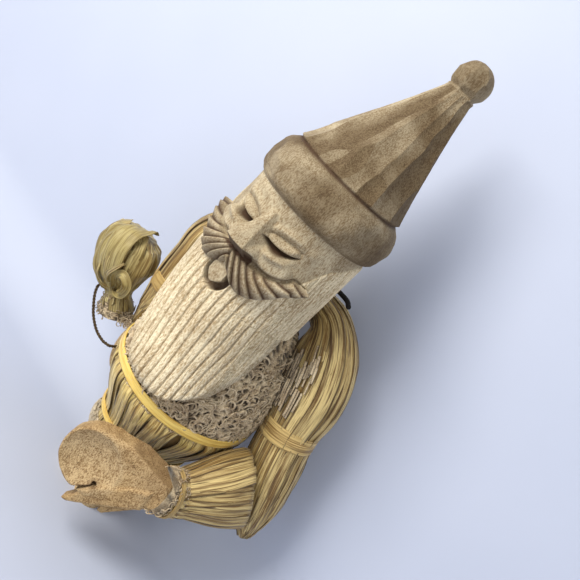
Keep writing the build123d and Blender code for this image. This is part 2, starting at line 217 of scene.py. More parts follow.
class Surface:
    """Closed pieces of mesh gathered into one object, with numbers per vertex for its material."""

    DEFAULTS = {"tint": 0.5, "shade": 1.0, "across": 0.5, "along": 0.5}

    def __init__(self):
        self.points = []
        self.faces = []
        self.fields = {name: [] for name in self.DEFAULTS}
        self.count = 0

    def add(self, points, faces, **fields):
        self.points.append(points)
        self.faces += [[index + self.count for index in face] for face in faces]
        for name, default in self.DEFAULTS.items():
            value = np.broadcast_to(fields.get(name, default), points.shape[:1])
            self.fields[name].append(value.astype(np.float32))
        self.count += len(points)

    def tube(self, rows, closed=False, **fields):
        """A skin over loops of points (rows x columns x 3): capped at its ends, or closed to a ring."""
        size = rows.shape[:2]
        index = np.arange(size[0] * size[1]).reshape(size)
        after = np.roll(index, -1, 1)
        quads = np.stack([index, after, np.roll(after, -1, 0), np.roll(index, -1, 0)], -1)
        faces = quads[: None if closed else -1].reshape(-1, 4).tolist()
        if not closed:
            faces += [index[0, ::-1].tolist(), index[-1].tolist()]
        flat = {name: np.broadcast_to(value, size).ravel() for name, value in fields.items()}
        self.add(rows.reshape(-1, 3), faces, **flat)

    def build(self, name, material, slot, *replaces, body="figure"):
        """Makes the object, puts it on its body and hides the CAD nodes it replaces; the slot is not used."""
        mesh = bpy.data.meshes.new(name)
        mesh.from_pydata((np.concatenate(self.points) * MM).tolist(), [], self.faces)
        for field, values in self.fields.items():
            layer = mesh.attributes.new(field, "FLOAT", "POINT")
            layer.data.foreach_set("value", np.concatenate(values))
        mesh.polygons.foreach_set("use_smooth", np.ones(len(mesh.polygons), bool))
        outward_normals(mesh)
        mesh.materials.append(material)
        item = bpy.data.objects.new(name, mesh)
        bpy.context.scene.collection.objects.link(item)
        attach(item, body)
        if replaces:
            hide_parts(*replaces)


def outward_normals(mesh):
    """Turns every closed part of a mesh so that its faces look outwards."""
    work = bmesh.new()
    work.from_mesh(mesh)
    bmesh.ops.recalc_face_normals(work, faces=work.faces)
    work.to_mesh(mesh)
    work.free()


def rope(path, radius, sides=8):
    """Loops round a path: rows x sides x 3. The radius may change along the path."""
    path = np.asarray(path, float)
    way = unit(np.gradient(path, axis=0))
    side = np.cross(way[0], (0.3, 0.5, 0.8))
    angle = circle(sides)[:, None]
    radius = np.broadcast_to(radius, len(path))
    loops = []
    for index, centre in enumerate(path):
        side = side - way[index] * (side @ way[index])
        side = side / np.linalg.norm(side)
        other = np.cross(way[index], side)
        loops.append(centre + radius[index] * (np.cos(angle) * side + np.sin(angle) * other))
    return np.array(loops)


class Bundle:
    """A tapering body through stations of (x, y, z, half width, half depth), read at shares of its length."""

    SAMPLES = 200

    def __init__(self, stations, across=(0, 1, 0), inset=0.0):
        table = spline(stations, self.SAMPLES)
        self.centre = table[:, :3]
        self.radii = np.maximum(table[:, 3:] - inset, 0.8)
        self.length = path_length(self.centre)
        way = unit(np.gradient(self.centre, axis=0))
        across = np.asarray(across, float)
        self.depth = unit(across - way * (way @ across)[:, None])
        self.width = np.cross(self.depth, way)

    def read(self, values, share):
        place = np.clip(share, 0, 1) * (self.SAMPLES - 1)
        low = np.minimum(place.astype(int), self.SAMPLES - 2)
        part = (place - low)[..., None]
        return values[low] * (1 - part) + values[low + 1] * part

    def at(self, share, angle, lift):
        """Points on the bundle at shares of its length and angles round it, lifted off it."""
        share, angle, lift = np.broadcast_arrays(share, angle, lift)
        radii = self.read(self.radii, share) + lift[..., None]
        aside = np.cos(angle)[..., None] * self.read(self.width, share) * radii[..., :1]
        across = np.sin(angle)[..., None] * self.read(self.depth, share) * radii[..., 1:]
        return self.read(self.centre, share) + aside + across

    def core(self, surface, inset, rows=60, columns=48, shade=0.12):
        """A closed inside, painted dark as shade, seen through the gaps between strips."""
        share = np.linspace(0, 1, rows)[:, None]
        surface.tube(self.at(share, circle(columns), -inset), shade=shade, tint=0.3)

    def strip(self, surface, start, end, angle, half_width, lift, seed, rows, lines=11, rib=0.16,
              rib_gap=2.1, cup=0.35, wrinkle=0.35, tint=0.5, shade=1.0):
        """A ribbed strip of dry leaf along the bundle; angle, width and lift are per row or one number."""
        thickness = 0.5
        # painted shade at both edges of each strip, for the gaps between strips
        edge_shade = 0.8
        share = np.linspace(start, end, rows)[:, None]
        side = np.linspace(-1, 1, lines)
        angle, half, lift = [np.broadcast_to(value, rows)[:, None] for value in (angle, half_width, lift)]
        radii = self.read(self.radii, share[:, 0]).mean(1)[:, None]
        rolled = angle + side * half / radii
        ribs = rib * np.cos(side * half * TURN / rib_gap + seed)
        rough = noise(grid_of(share * self.length / 9, side * half / 2.2, seed * 3.7), 1.0, seed)
        top = lift + ribs + cup * side**2 + wrinkle * rough
        surface.tube(
            sheet(self.at(share, rolled, top), self.at(share, rolled, top - thickness)),
            tint=tint,
            shade=doubled(shade * (1 - edge_shade * np.abs(side) ** 7)),
            across=doubled(side * half),
            along=share * self.length,
        )


# ---- materials ----
BLACK = (0, 0, 0)
WHITE = (1, 1, 1)


class Shader:
    """A small writer of node materials."""

    # the mix node has sockets for numbers and vectors too; these are its colours
    FIRST_COLOUR = 6
    SECOND_COLOUR = 7
    MIXED_COLOUR = 2

    def __init__(self, name):
        self.material = bpy.data.materials.new(name)
        self.material.use_nodes = True
        self.tree = self.material.node_tree
        self.main = self.tree.nodes["Principled BSDF"]

    def put(self, value, socket):
        if isinstance(value, bpy.types.NodeSocket):
            self.tree.links.new(value, socket)
        elif isinstance(value, tuple) and len(value) == 3 and len(socket.default_value) == 4:
            socket.default_value = (*value, 1)
        else:
            socket.default_value = value

    def node(self, kind, *first, **inputs):
        """A new node, with values or sockets for its first inputs in order and for others by name."""
        item = self.tree.nodes.new(kind)
        for key, value in [*enumerate(first), *inputs.items()]:
            self.put(value, item.inputs[key])
        return item

    def field(self, name):
        item = self.tree.nodes.new("ShaderNodeAttribute")
        item.attribute_name = name
        return item.outputs["Fac"]

    def math(self, operation, first, second=0.0):
        item = self.node("ShaderNodeMath", first, second)
        item.operation = operation
        return item.outputs[0]

    def times(self, value, factor):
        return self.math("MULTIPLY", value, factor)

    def blend(self, first, second, share):
        """A sum of two values, weighted by the first one's share."""
        return self.math("ADD", self.times(first, share), self.times(second, 1 - share))

    def paint_cut_shade(self, colour, deep):
        """Painted shade: the deep colour where the surface's shade field is low, in cuts and gaps."""
        return self.mix(self.math("SUBTRACT", 1.0, self.field("shade")), colour, deep)

    def mix(self, share, first, second, blend="MIX"):
        item = self.node("ShaderNodeMix", share)
        item.data_type = "RGBA"
        item.blend_type = blend
        self.put(first, item.inputs[self.FIRST_COLOUR])
        self.put(second, item.inputs[self.SECOND_COLOUR])
        return item.outputs[self.MIXED_COLOUR]

    def ramp(self, share, *stops):
        item = self.node("ShaderNodeValToRGB", Fac=share)
        marks = item.color_ramp.elements
        while len(marks) < len(stops):
            marks.new(0.5)
        for mark, (place, colour) in zip(marks, stops):
            mark.position = place
            mark.color = (*colour, 1)
        return item.outputs["Color"]

    def coordinates(self, stretch=(1, 1, 1)):
        place = self.node("ShaderNodeTexCoord").outputs["Object"]
        return self.node("ShaderNodeMapping", Vector=place, Scale=stretch).outputs["Vector"]

    def noise(self, vector, scale, detail=2.0, rough=0.5):
        item = self.node("ShaderNodeTexNoise", Vector=vector, Scale=scale, Detail=detail, Roughness=rough)
        return item.outputs["Fac"]

    def clear_from_behind(self):
        """Makes the back of a sheet invisible, so that a camera behind it still sees the object."""
        behind = self.node("ShaderNodeNewGeometry").outputs["Backfacing"]
        clear = self.node("ShaderNodeBsdfTransparent").outputs[0]
        mixer = self.node("ShaderNodeMixShader", behind, self.main.outputs[0], clear)
        self.put(mixer.outputs[0], self.tree.nodes["Material Output"].inputs["Surface"])

    def finish(self, colour, roughness, bump=None, strength=0.3, depth=0.0003, sheen=0.0):
        self.put(colour, self.main.inputs["Base Color"])
        self.put(roughness, self.main.inputs["Roughness"])
        self.put(sheen, self.main.inputs["Sheen Weight"])
        self.put(0.3, self.main.inputs["Specular IOR Level"])
        if bump is not None:
            item = self.node("ShaderNodeBump", Strength=strength, Distance=depth, Height=bump)
            self.tree.links.new(item.outputs["Normal"], self.main.inputs["Normal"])
        return self.material


def srgb(red, green, blue):
    """A colour given as it looks on a screen, 0 to 255, as linear values."""
    return tuple(((value / 255 + 0.055) / 1.055) ** 2.4 for value in (red, green, blue))


def wood_material(name, dark, light, recess, tone_and_shade, stretch=(1, 1, 0.3), pores=0.35):
    """Dry knife-cut wood: pale flecks along the grain, soft streaks, small dark pores, a darker tone with
    painted shade mixed in, and painted shade in cuts.
    """
    shader = Shader(name)
    grain = shader.coordinates(stretch)
    mixed = shader.blend(shader.noise(grain, 1900, 2, 0.6), shader.noise(grain, 220, 3), 0.72)
    colour = shader.ramp(mixed, (0.4, dark), (0.57, light))
    pore = shader.node("ShaderNodeTexVoronoi", Vector=grain, Scale=520).outputs["Distance"]
    spot = shader.ramp(pore, (0.06, WHITE), (0.2, BLACK))
    colour = shader.mix(shader.times(spot, pores), colour, recess)
    cloud = shader.noise(shader.coordinates(), 42, 2)
    worn = shader.times(shader.ramp(cloud, (0.35, BLACK), (0.7, WHITE)), 0.3)
    # the tint field and a random cloud darken the wood: its darker tone, and on the hat's cone painted shade
    # on facets as well
    deep = shader.math("ADD", shader.field("tint"), worn)
    colour = shader.mix(1.0, colour, shader.ramp(deep, (0.0, WHITE), (1.0, tone_and_shade)), "MULTIPLY")
    # painted shade in cuts and gaps, in the recess colour that also colours the pores
    return shader.finish(shader.paint_cut_shade(colour, recess), 0.75, mixed, 0.6, 0.0006)


def leaf_material(name, pale, deep, green, roughness=0.45, cracks=0.75):
    """Dry leaf strips: fine fibres along each strip, with each strip a little different."""
    shader = Shader(name)
    tint = shader.field("tint")
    along = shader.times(shader.field("along"), 0.035)
    parts = {"X": shader.field("across"), "Y": along, "Z": shader.times(tint, 90.0)}
    place = shader.node("ShaderNodeCombineXYZ", **parts).outputs[0]
    fibre = shader.noise(place, 2.6, 3, 0.65)
    mixed = shader.blend(fibre, shader.noise(place, 0.6, 2), 0.55)
    between = tuple((a + b) / 2 for a, b in zip(pale, deep))
    colour = shader.ramp(mixed, (0.40, deep), (0.49, between), (0.57, pale))
    split = shader.ramp(shader.noise(place, 1.15, 1), (0.36, WHITE), (0.42, BLACK))
    colour = shader.mix(shader.times(split, cracks), colour, srgb(80, 54, 24))
    leaning = shader.ramp(tint, (0.3, BLACK), (0.95, WHITE))
    colour = shader.mix(shader.times(leaning, 0.6), colour, green)
    # painted shade in the gaps between strips and on the inside seen through them
    return shader.finish(shader.paint_cut_shade(colour, srgb(66, 44, 20)), roughness, fibre, 0.6, 0.0004, 0.1)


def fibre_material(name, pale, deep):
    """Matted crinkled fibre: its own colour on the crests and painted shade in the gaps."""
    shader = Shader(name)
    place = shader.coordinates()
    fine = shader.noise(place, 1300, 3, 0.7)
    mixed = shader.blend(fine, shader.noise(place, 120, 2), 0.6)
    colour = shader.ramp(mixed, (0.34, deep), (0.66, pale))
    return shader.finish(shader.paint_cut_shade(colour, srgb(38, 28, 20)), 0.9, fine, 0.6, 0.0005, 0.2)


def cord_material(name, deep, pale):
    """Dark twisted cord."""
    shader = Shader(name)
    fine = shader.noise(shader.coordinates(), 2500, 2)
    return shader.finish(shader.ramp(fine, (0.35, deep), (0.7, pale)), 0.85, fine, 0.5, 0.0002)


def metal_material(name, deep, pale):
    """Dull annealed wire."""
    shader = Shader(name)
    shader.main.inputs["Metallic"].default_value = 1.0
    fine = shader.noise(shader.coordinates(), 400, 2)
    return shader.finish(shader.ramp(fine, (0.3, deep), (0.7, pale)), 0.5)


hat_wood = wood_material(
    "head_wood", srgb(180, 154, 114), srgb(240, 224, 188), srgb(62, 38, 20), (0.18, 0.145, 0.105)
)
hand_wood = wood_material(
    "hand_wood", srgb(140, 112, 74), srgb(212, 188, 146), srgb(74, 46, 26), (0.74, 0.64, 0.5),
    stretch=(1, 1, 0.4), pores=0.9
)
peg_wood = wood_material(
    "peg_wood", srgb(150, 112, 70), srgb(196, 160, 112), srgb(80, 50, 30), (0.6, 0.5, 0.4)
)
husk = leaf_material("husk", srgb(222, 196, 132), srgb(112, 80, 36), srgb(152, 118, 58))
skirt_leaf = leaf_material("skirt_leaf", srgb(240, 216, 146), srgb(156, 120, 56), srgb(186, 162, 88))
strap_leaf = leaf_material(
    "strap_leaf", srgb(238, 206, 112), srgb(206, 164, 72), srgb(222, 184, 88), roughness=0.3, cracks=0.0
)
band_leaf = leaf_material(
    "band_leaf", srgb(212, 182, 116), srgb(134, 100, 50), srgb(170, 136, 72), roughness=0.4, cracks=0.5
)
sack_leaf = leaf_material("sack_leaf", srgb(208, 190, 130), srgb(122, 98, 52), srgb(136, 120, 66))
brown_fibre = fibre_material("brown_fibre", srgb(238, 218, 180), srgb(142, 112, 76))
pale_fibre = fibre_material("pale_fibre", srgb(226, 212, 184), srgb(170, 148, 116))
black_cord = cord_material("black_cord", srgb(14, 11, 9), srgb(44, 38, 32))
brown_twine = cord_material("brown_twine", srgb(40, 30, 20), srgb(104, 84, 56))
wire_metal = metal_material("wire_metal", srgb(60, 58, 55), srgb(95, 92, 88))


# ---- head: one carved block ----
# places on the face: from the nose along the surface, and by height
EYE_SIDE = 14.8
EYE_HALF = 10.6
EYE_Z = 209.0
CHEEK_SIDE = 17.5
CHEEK_Z = 199.0
NOSE_TOP_Z = 219.0
NOSE_LENGTH = 22.0
NOSE_FOOT_Z = 190.0
MOUSTACHE_Z = 188.6
MOUSTACHE_REACH = 40.0
MOUSTACHE_HALF = 7.7
LOCK_SPACING = 5.3
MOUTH_Z = 176.0
MOUTH_HALF = 9.4
# the carver's marks
CONE_CHIPS = 15
FOOT_CHIPS = 17
CHIP_SPREAD = 22.0
BALL_SPREAD = 10.0
GOUGE_SPACING = 5.1
FINE_GOUGE_SPACING = 2.7


def chips(arc, height, seeds, radius):
    """Knife facets: nearly flat scoops that meet in ridges. Seeds are rows of (arc, height, squeeze)."""
    best = np.full(arc.shape, 1e9)
    which = np.zeros(arc.shape, int)
    for index, (seed_arc, seed_height, squeeze) in enumerate(seeds):
        distance = (arc - seed_arc) ** 2 + ((height - seed_height) * squeeze) ** 2
        which = np.where(distance < best, index, which)
        best = np.minimum(best, distance)
    return best / (2 * radius), which


def wrap_round(seeds, spread):
    """Seeds with their copies one turn away on both sides, so that facets close round the back."""
    shifts = [k * TURN * spread for k in (-1, 0, 1)]
    return [(arc + shift, height, squeeze) for arc, height, squeeze in seeds for shift in shifts]


def chip_row(count, jitter, height, low, high, squeeze):
    """One row of chips round the hat, each a little out of its place."""
    row = []
    for index in range(count):
        arc = (index + random.uniform(-jitter, jitter)) * TURN / count * CHIP_SPREAD
        row.append((arc, height + random.uniform(low, high), squeeze))
    return row


def ball_seeds():
    seeds = []
    for height in (-7, -1, 5, 10):
        angles = np.arange(7) * TURN / 7 + height * 0.3 + random.uniform(-0.15, 0.15, 7)
        seeds += [(angle * BALL_SPREAD, BALL_Z + height, 1.0) for angle in angles]
    return seeds


def eye_relief(arc, height):
    """Brow, almond lid, closed slit and socket of both eyes; also where the slit and the lid's fold are, for
    painted shade.
    """
    side = np.abs(arc)
    off = (side - EYE_SIDE) / EYE_HALF
    inside = np.clip(1 - off**2, 0, 1)
    line = EYE_Z - 3.2 * inside + 0.16 * (side - EYE_SIDE)
    gap = 0.15 + 1.35 * inside**0.8 * (1.15 - 0.3 * off)
    slit = smoothstep(gap - np.abs(height - line), -0.25, 0.6) * (np.abs(off) < 1)
    fold_line = line + 1.6 + 5.4 * inside**0.7
    fold = hill(height, fold_line, 0.75) * smoothstep(inside, 0.0, 0.25)
    brow = 2.0 * hill(side, 14, 11) * hill(height, fold_line + 3.0, 2.2)
    socket = 2.2 * hill(side, 12, 9.5) * hill(height, 211.5, 5.0)
    lid = 2.4 * smoothstep(inside, 0, 0.8) * hill(height, line + 3.2, 2.6)
    under = 1.7 * hill(side, 15, 8.5) * hill(height, line - 3.4, 1.9)
    return brow - socket + lid + under - 1.1 * fold - 3.6 * slit, slit, fold


def nose_relief(arc, height):
    """A broad wedge nose with a cut-off underside; also where the underside is, for painted shade."""
    along = np.clip((NOSE_TOP_Z - height) / NOSE_LENGTH, 0, 1)
    half = 3.0 + 8.2 * along**1.2
    reach = (1.4 + 11.6 * along**1.1) * np.clip((height - NOSE_FOOT_Z) / 7.0, 0, 1) * (along > 0)
    ridge = np.clip(1.75 * (1 - np.abs(arc) / half), 0, 1) * (1 - 0.25 * np.abs(arc) / half)
    under = smoothstep(half * 0.84 - np.abs(arc), 0, 0.8) * smoothstep(NOSE_FOOT_Z + 7.2 - height, 0, 0.6)
    return reach * ridge, under * smoothstep(height, NOSE_FOOT_Z + 0.4, NOSE_FOOT_Z + 1.6)


def moustache_relief(arc, height):
    """Two lobes of curved locks that taper to raised tips; also their area, and the lock facets and undercut
    rim that get painted shade.
    """
    side = np.clip((np.abs(arc) - 0.5) / MOUSTACHE_REACH, 0, 1)
    middle = MOUSTACHE_Z - 6.0 * np.sin(math.pi * np.clip(side * 1.3, 0, 1)) + 11.0 * side**2
    half = np.maximum(MOUSTACHE_HALF * np.sin(math.pi * (0.21 + 0.78 * side)) ** 0.8, 0.05)
    off = (height - middle) / half
    crown = np.sqrt(np.clip(1 - off**2, 0, 1))
    inside = smoothstep(1 - off**2, 0.0, 0.2) * (np.abs(arc) > 0.5) * (np.abs(arc) < MOUSTACHE_REACH + 0.2)
    lock = np.mod((np.abs(arc) + 0.95 * (height - middle) + 1.6 * off**2) / LOCK_SPACING, 1.0)
    tooth = np.where(lock < 0.84, (lock / 0.84) ** 0.8, (1 - lock) / 0.16)
    # painted shade on the facet of each lock that is turned from the light
    groove = (1 - tooth) ** 1.1 * inside
    raised = inside * (0.6 + 4.2 * crown + 2.6 * tooth * (0.15 + 0.85 * crown) * (1 - 0.6 * side**2))
    rim = hill(off, 1.18, 0.16) * (side > 0.12) * (side < 0.97)
    return raised, inside, groove, rim


def mouth_relief(arc, height):
    """A small shield-shaped lower lip that stands in a recess with painted shade; also where recess and lip
    are.
    """
    wide = 9.2 * np.sqrt(np.clip(1 - ((height - MOUTH_Z) / MOUTH_HALF) ** 2, 0, 1))
    recess = smoothstep(wide - np.abs(arc), 0, 1.0)
    shield = 5.9 * np.clip((height - 170.4) / 4.5, 0, 1) ** 0.6
    lip = smoothstep(shield - np.abs(arc), 0, 0.9) * smoothstep(187.0 - height, -0.5, 0.8)
    return -4.0 * recess * (1 - lip) + 1.9 * lip, recess * (1 - lip), lip * recess


def cheek_relief(arc, height):
    """Round cheeks with a clear lower edge above the moustache."""
    half = np.where(height > CHEEK_Z, 8.0, 6.2)
    off = ((np.abs(arc) - CHEEK_SIDE) / 12.5) ** 2 + ((height - CHEEK_Z) / half) ** 2
    return 4.0 * smoothstep(1 - off, 0, 0.75) ** 0.8


def carve_face(arc, z, face):
    """All reliefs of the face: how far they push out, the painted shade in slits, folds, recess, undercut,
    lock facets and under the nose, and where hair may grow.
    """
    eyes, slit, fold = eye_relief(arc, z)
    nose, under_nose = nose_relief(arc, z)
    lobes, lobe_area, groove, rim = moustache_relief(arc, z)
    mouth, recess, lip = mouth_relief(arc, z)
    planes = 0.35 * noise(grid_of(arc, z, 0), 6.0, 12)
    clear = 1 - lobe_area
    skin = eyes + cheek_relief(arc, z) + planes - 1.3 * rim + mouth
    push = face * (clear * skin + np.maximum(nose, lobes))
    # painted shade in the eye slits and lid folds, the mouth recess, the moustache undercut and lock facets,
    # and under the nose
    dark = clear * (0.95 * slit + 0.85 * recess + 0.22 * fold + 0.5 * rim) + 0.8 * under_nose + 1.05 * groove
    return push, face * dark, clear * (1 - recess) * (1 - lip)


def carve_beard(arc, z, room):
    """Long shallow gouge cuts in beard and hair, finer at the sides, with painted shade in the gouges."""
    top = np.interp(np.abs(arc), [0, 8, 20, 33, 38, 43, 60], [184, 184, 186, 197, 206, 215, 224])
    beard = fade(z, top - 1.0, top + 0.6) * room
    narrow = np.interp(z, [BEARD_TIP_Z, 150], [0.8, 1.0])
    sway = 0.9 * noise(grid_of(arc / 14, z / 26, 0), 1.0, 21)
    fine_side = smoothstep(np.abs(arc), 36, 42)
    spacing = GOUGE_SPACING + (FINE_GOUGE_SPACING - GOUGE_SPACING) * fine_side
    cut = np.abs(np.sin(math.pi * (arc / narrow + sway) / spacing))
    gouge = hill(cut, 0, 0.36)
    scratch = noise(grid_of(arc / 0.7, z / 16, 0), 1.0, 31)
    push = beard * (0.6 - (1.1 - 0.45 * fine_side) * gouge + 0.16 * scratch)
    # painted shade in the gouges
    return push, 0.3 * beard * gouge, beard


def carve_hat(points, turn, radius):
    """Facets on cone and ball, chips at the cone's foot, lumps on the brim; also painted shade in the groove
    and along facet ridges, and the tint: darker tone of brim, cone and ball with painted shade on the cone's
    facets.
    """
    z = points[..., 2]
    cone = smoothstep(z, 251.5, 254) * fade(z, 319, 321.5)
    ball = smoothstep(z, 319.5, 322)
    brim = smoothstep(z, 226, 229) * fade(z, 246, 250)
    seeds = chip_row(CONE_CHIPS, 0.28, 288, -14, 20, 0.10) + chip_row(FOOT_CHIPS, 0.3, 258, -3, 5, 0.42)
    seeds = wrap_round(seeds, CHIP_SPREAD)
    wave = 0.05 * noise(grid_of(z / 9, turn * 2, 0), 1.0, 5)
    scoop, which = chips(np.mod(turn + wave, TURN) * CHIP_SPREAD, z, seeds, 24.0)
    edge = smoothstep(scoop, 0.9, 1.5) * (radius > 12)
    scoop = np.minimum(2.7 * scoop * (radius / 24), 4.0) - 1.35 * radius / 24
    around = np.mod(turn, TURN) * BALL_SPREAD
    ball_scoop, _ = chips(around, z, wrap_round(ball_seeds(), BALL_SPREAD), BALL_RADIUS)
    lumps = 1.4 * noise(points * (1, 1, 1.3), 13.0, 8) + 0.35 * noise(points, 5.0, 9)
    push = cone * scoop + ball * (np.minimum(ball_scoop, 1.0) - 0.5) + brim * lumps
    # painted shade in the groove under the cone and along the ridges between its facets
    dark = 0.9 * hill(z, GROOVE_Z + 0.2, 0.9) + 0.3 * cone * edge
    above_groove = smoothstep(z, GROOVE_Z + 0.2, GROOVE_Z + 1.4)
    # painted shade: a random darkness for each cone facet, and the cone darker on the side turned from the
    # light
    facet_shade = np.random.default_rng(3).uniform(0, 1, len(seeds))[which]
    turned = 0.5 + 0.5 * smoothstep(turn, -1.0, 0.0)
    cone_tint = np.where(ball > 0.5, 0.72, (0.72 + 0.4 * facet_shade) * turned)
    brim_area = smoothstep(z, BRIM_BOTTOM_Z - 1, BRIM_BOTTOM_Z + 0.2) * (1 - above_groove)
    return push, dark, 0.74 * brim_area + above_groove * cone_tint


def head_rows():
    """Heights of the head's loops: close together on the face and at both ends."""
    tip = BEARD_TIP_Z + 1.6 * (1 - np.cos(np.linspace(0.04, math.pi / 2, 12)))
    beard = np.arange(tip[-1] + 0.5, CHIN_Z, 0.5)
    face = np.arange(CHIN_Z + 0.2, BRIM_BOTTOM_Z, 0.36)
    hat = np.arange(BRIM_BOTTOM_Z, BALL_Z + 6, 0.5)
    crown = BALL_Z + BALL_RADIUS * np.sin(np.linspace(math.asin(6.3 / BALL_RADIUS), math.pi / 2 - 0.03, 14))
    return np.concatenate([tip, beard, face, hat, crown])


def hat_radius(height):
    """The turned outline of face, brim, groove, cone and ball, by height."""
    outline = [(60, 36.5), (223.5, 36.5), (225.6, 36.6), (226.3, 38.0), (228, 39.6), (231, 40.6), (237, 40.9),
               (240, 40.3), (244.5, 39.3), (248, 37.2), (250.3, 34.8), (251.2, 33.4), (252.6, 35.0),
               (258, 32.8), (265, 29.7), (278, 24.8), (291, 19.6), (303, 14.9), (313, 11.3), (319, 9.2),
               (322, 8.9)]
    radius = np.interp(height, *zip(*outline))
    ball = np.sqrt(np.clip(BALL_RADIUS**2 - (height - BALL_Z) ** 2, 0.01, None))
    neck = np.where(height < BALL_Z - 2, np.maximum(radius * (height < 322), ball), ball)
    return np.where(height > CONE_TOP_Z - 2, neck, radius)


def head_loops(height, columns, middle_x, middle_y, radius):
    """Loops of the carved block: full circles above the chin, a crescent hollowed for the chest below it."""
    above_tip = [0, 0.4, 1.5, 3.2, 6, 10, 15, 21, 28, 38, 52]
    half_widths = [1.0, 5.5, 11.0, 15.6, 20.6, 25.0, 28.6, 31.4, 33.6, 35.6, 36.4]
    half = np.interp(height - BEARD_TIP_Z, above_tip, half_widths)
    below = height < CHIN_Z
    side = math.radians(94)
    widest = np.arcsin(np.clip(half / FACE_RADIUS, 0, 1))
    widest = np.where(below, np.minimum(widest, side), side)
    widest = widest + math.radians(41) * smoothstep(height, CHIN_Z, 200)
    other = widest * np.where(below, 1 - 0.12 * fade(height, 132, CHIN_Z), 1)
    outer_count = int(columns * 0.8)
    share = np.linspace(-1, 1, outer_count)[None, :]
    turn = share * np.where(share > 0, widest, other)
    # the front, rounded towards its side edges and its tip
    soften = np.where(below, 2.6 * (1 - np.sqrt(1 - np.clip((np.abs(share) - 0.86) / 0.14, 0, 1) ** 2)), 0)
    outer_radius = radius - soften - 3.0 * fade(height, BEARD_TIP_Z - 1, BEARD_TIP_Z + 7) ** 2
    outer_x = middle_x + outer_radius * np.sin(turn)
    outer_y = middle_y - outer_radius * np.cos(turn)
    # the back: the rest of the circle, or the hollow that lies over the chest
    back = np.linspace(0, 1, columns - outer_count + 2)[None, 1:-1]
    around = widest + back * (TURN - widest - other)
    chest_x = middle_x + radius * (np.sin(widest) * (1 - back) - np.sin(other) * back)
    chest = np.interp(height, [88, 118, 131, 143, 157, CHIN_Z], [48.6, 48.6, 45.8, 40.8, 33.5, 26])
    plane = np.interp(height, [90, 125, 150, CHIN_Z], [-40, -38, -26, -22])
    front_y = middle_y - np.sqrt(np.clip(radius**2 - (chest_x - middle_x) ** 2, 0, None))
    chest_y = np.minimum(-np.sqrt(np.clip(chest**2 - chest_x**2, 0, None)), plane)
    inner_x = np.where(below, chest_x, middle_x + radius * np.sin(around))
    inner_y = np.where(below, np.maximum(chest_y, front_y + 1.2), middle_y - radius * np.cos(around))
    x = np.concatenate([outer_x, inner_x], 1)
    y = np.concatenate([outer_y, inner_y], 1)
    rim = 1 - 0.9 * np.clip((np.abs(share) - 0.93) / 0.07, 0, 1) * below
    return x, y, np.concatenate([rim, 1.0 - below + 0 * inner_x], 1)


def make_head():
    columns = 840
    height = head_rows()[:, None]
    lean = np.clip((height - GROOVE_Z) / (CONE_TOP_Z - GROOVE_Z), 0, 1)
    middle_x = HEAD_X + 2.6 * lean + BEARD_SWING * fade(height, BEARD_TIP_Z - 6, CHIN_Z + 4)
    middle_y = HEAD_Y + 17.0 * lean**0.95
    radius = hat_radius(height)
    x, y, outside = head_loops(height, columns, middle_x, middle_y, radius)
    out_x = x - middle_x
    out_y = y - middle_y
    distance = np.maximum(np.hypot(out_x, out_y), 1e-6)
    turn = np.arctan2(out_x, -out_y)
    arc = turn * np.maximum(radius, 9)
    z = height + 0 * turn
    points = np.stack([x, y, z], -1)
    front = smoothstep(-out_y / distance, -0.2, 0.35) * outside
    face = front * fade(z, 223.0, 225.4) * smoothstep(z, 160, 168)
    hat_push, hat_painted_shade, hat_tint = carve_hat(points, turn, radius)
    face_push, face_painted_shade, room = carve_face(arc, z, face)
    beard_push, beard_painted_shade, beard = carve_beard(arc, z, room * outside)
    tool_marks = (1 - beard) * 0.05 * noise(points * (1, 1, 0.4), 1.3, 33)
    push = (hat_push + face_push + beard_push + tool_marks) / distance
    skin = (1 - beard) * fade(z, BRIM_BOTTOM_Z - 1, BRIM_BOTTOM_Z) * (z > CHIN_Z)
    surface = Surface()
    surface.tube(
        np.stack([x + push * out_x, y + push * out_y, z], -1),
        # tint: the darker tone of hat, brim and face, with painted shade on the cone's facets; shade: painted
        # shade in cuts, gouges, the groove and under the nose
        tint=np.clip(hat_tint + 0.44 * skin, 0, 1.2),
        shade=np.clip(1 - hat_painted_shade - face_painted_shade - beard_painted_shade, 0.02, 1),
        across=arc,
        along=z,
    )
    surface.build("head_carving", hat_wood, "carved_wood", "carved_head")


make_head()


# ---- husk bundles ----
def layered_strips(bundle, surface, count, half_width, start, end, seed, layers=2, swell=0.0, rows=34,
                   ragged=0.01, **looks):
    """Strips all round a bundle in overlapping layers, each a little different in width, place and lift."""
    choose = np.random.default_rng(seed)
    share = np.linspace(0, 1, rows)
    radii = bundle.read(bundle.radii, np.linspace(start, end, rows)).mean(1)
    narrowing = np.sqrt(np.clip(radii / radii.max(), 0.35, 1))
    for layer in range(layers):
        for index in range(count):
            angle = (index + 0.5 * (layer % 2) + choose.uniform(-0.22, 0.22)) * TURN / count
            drift = choose.uniform(-0.10, 0.10) * np.sin(share * math.pi * choose.uniform(0.6, 1.6))
            half = half_width * choose.uniform(0.72, 1.15) * narrowing
            lift = 0.1 + 0.6 * layer + choose.uniform(0, 0.8)
            lift = lift + swell * np.sin(share * math.pi) * choose.uniform(0.2, 1)
            first = start + choose.uniform(0, 0.02)
            last = end - choose.uniform(0, ragged)
            own = {"tint": choose.uniform(0, 1), "shade": choose.uniform(0.86, 1.0)}
            number = seed + layer * 50 + index
            bundle.strip(surface, first, last, angle + drift, half, lift, number, rows, **own, **looks)


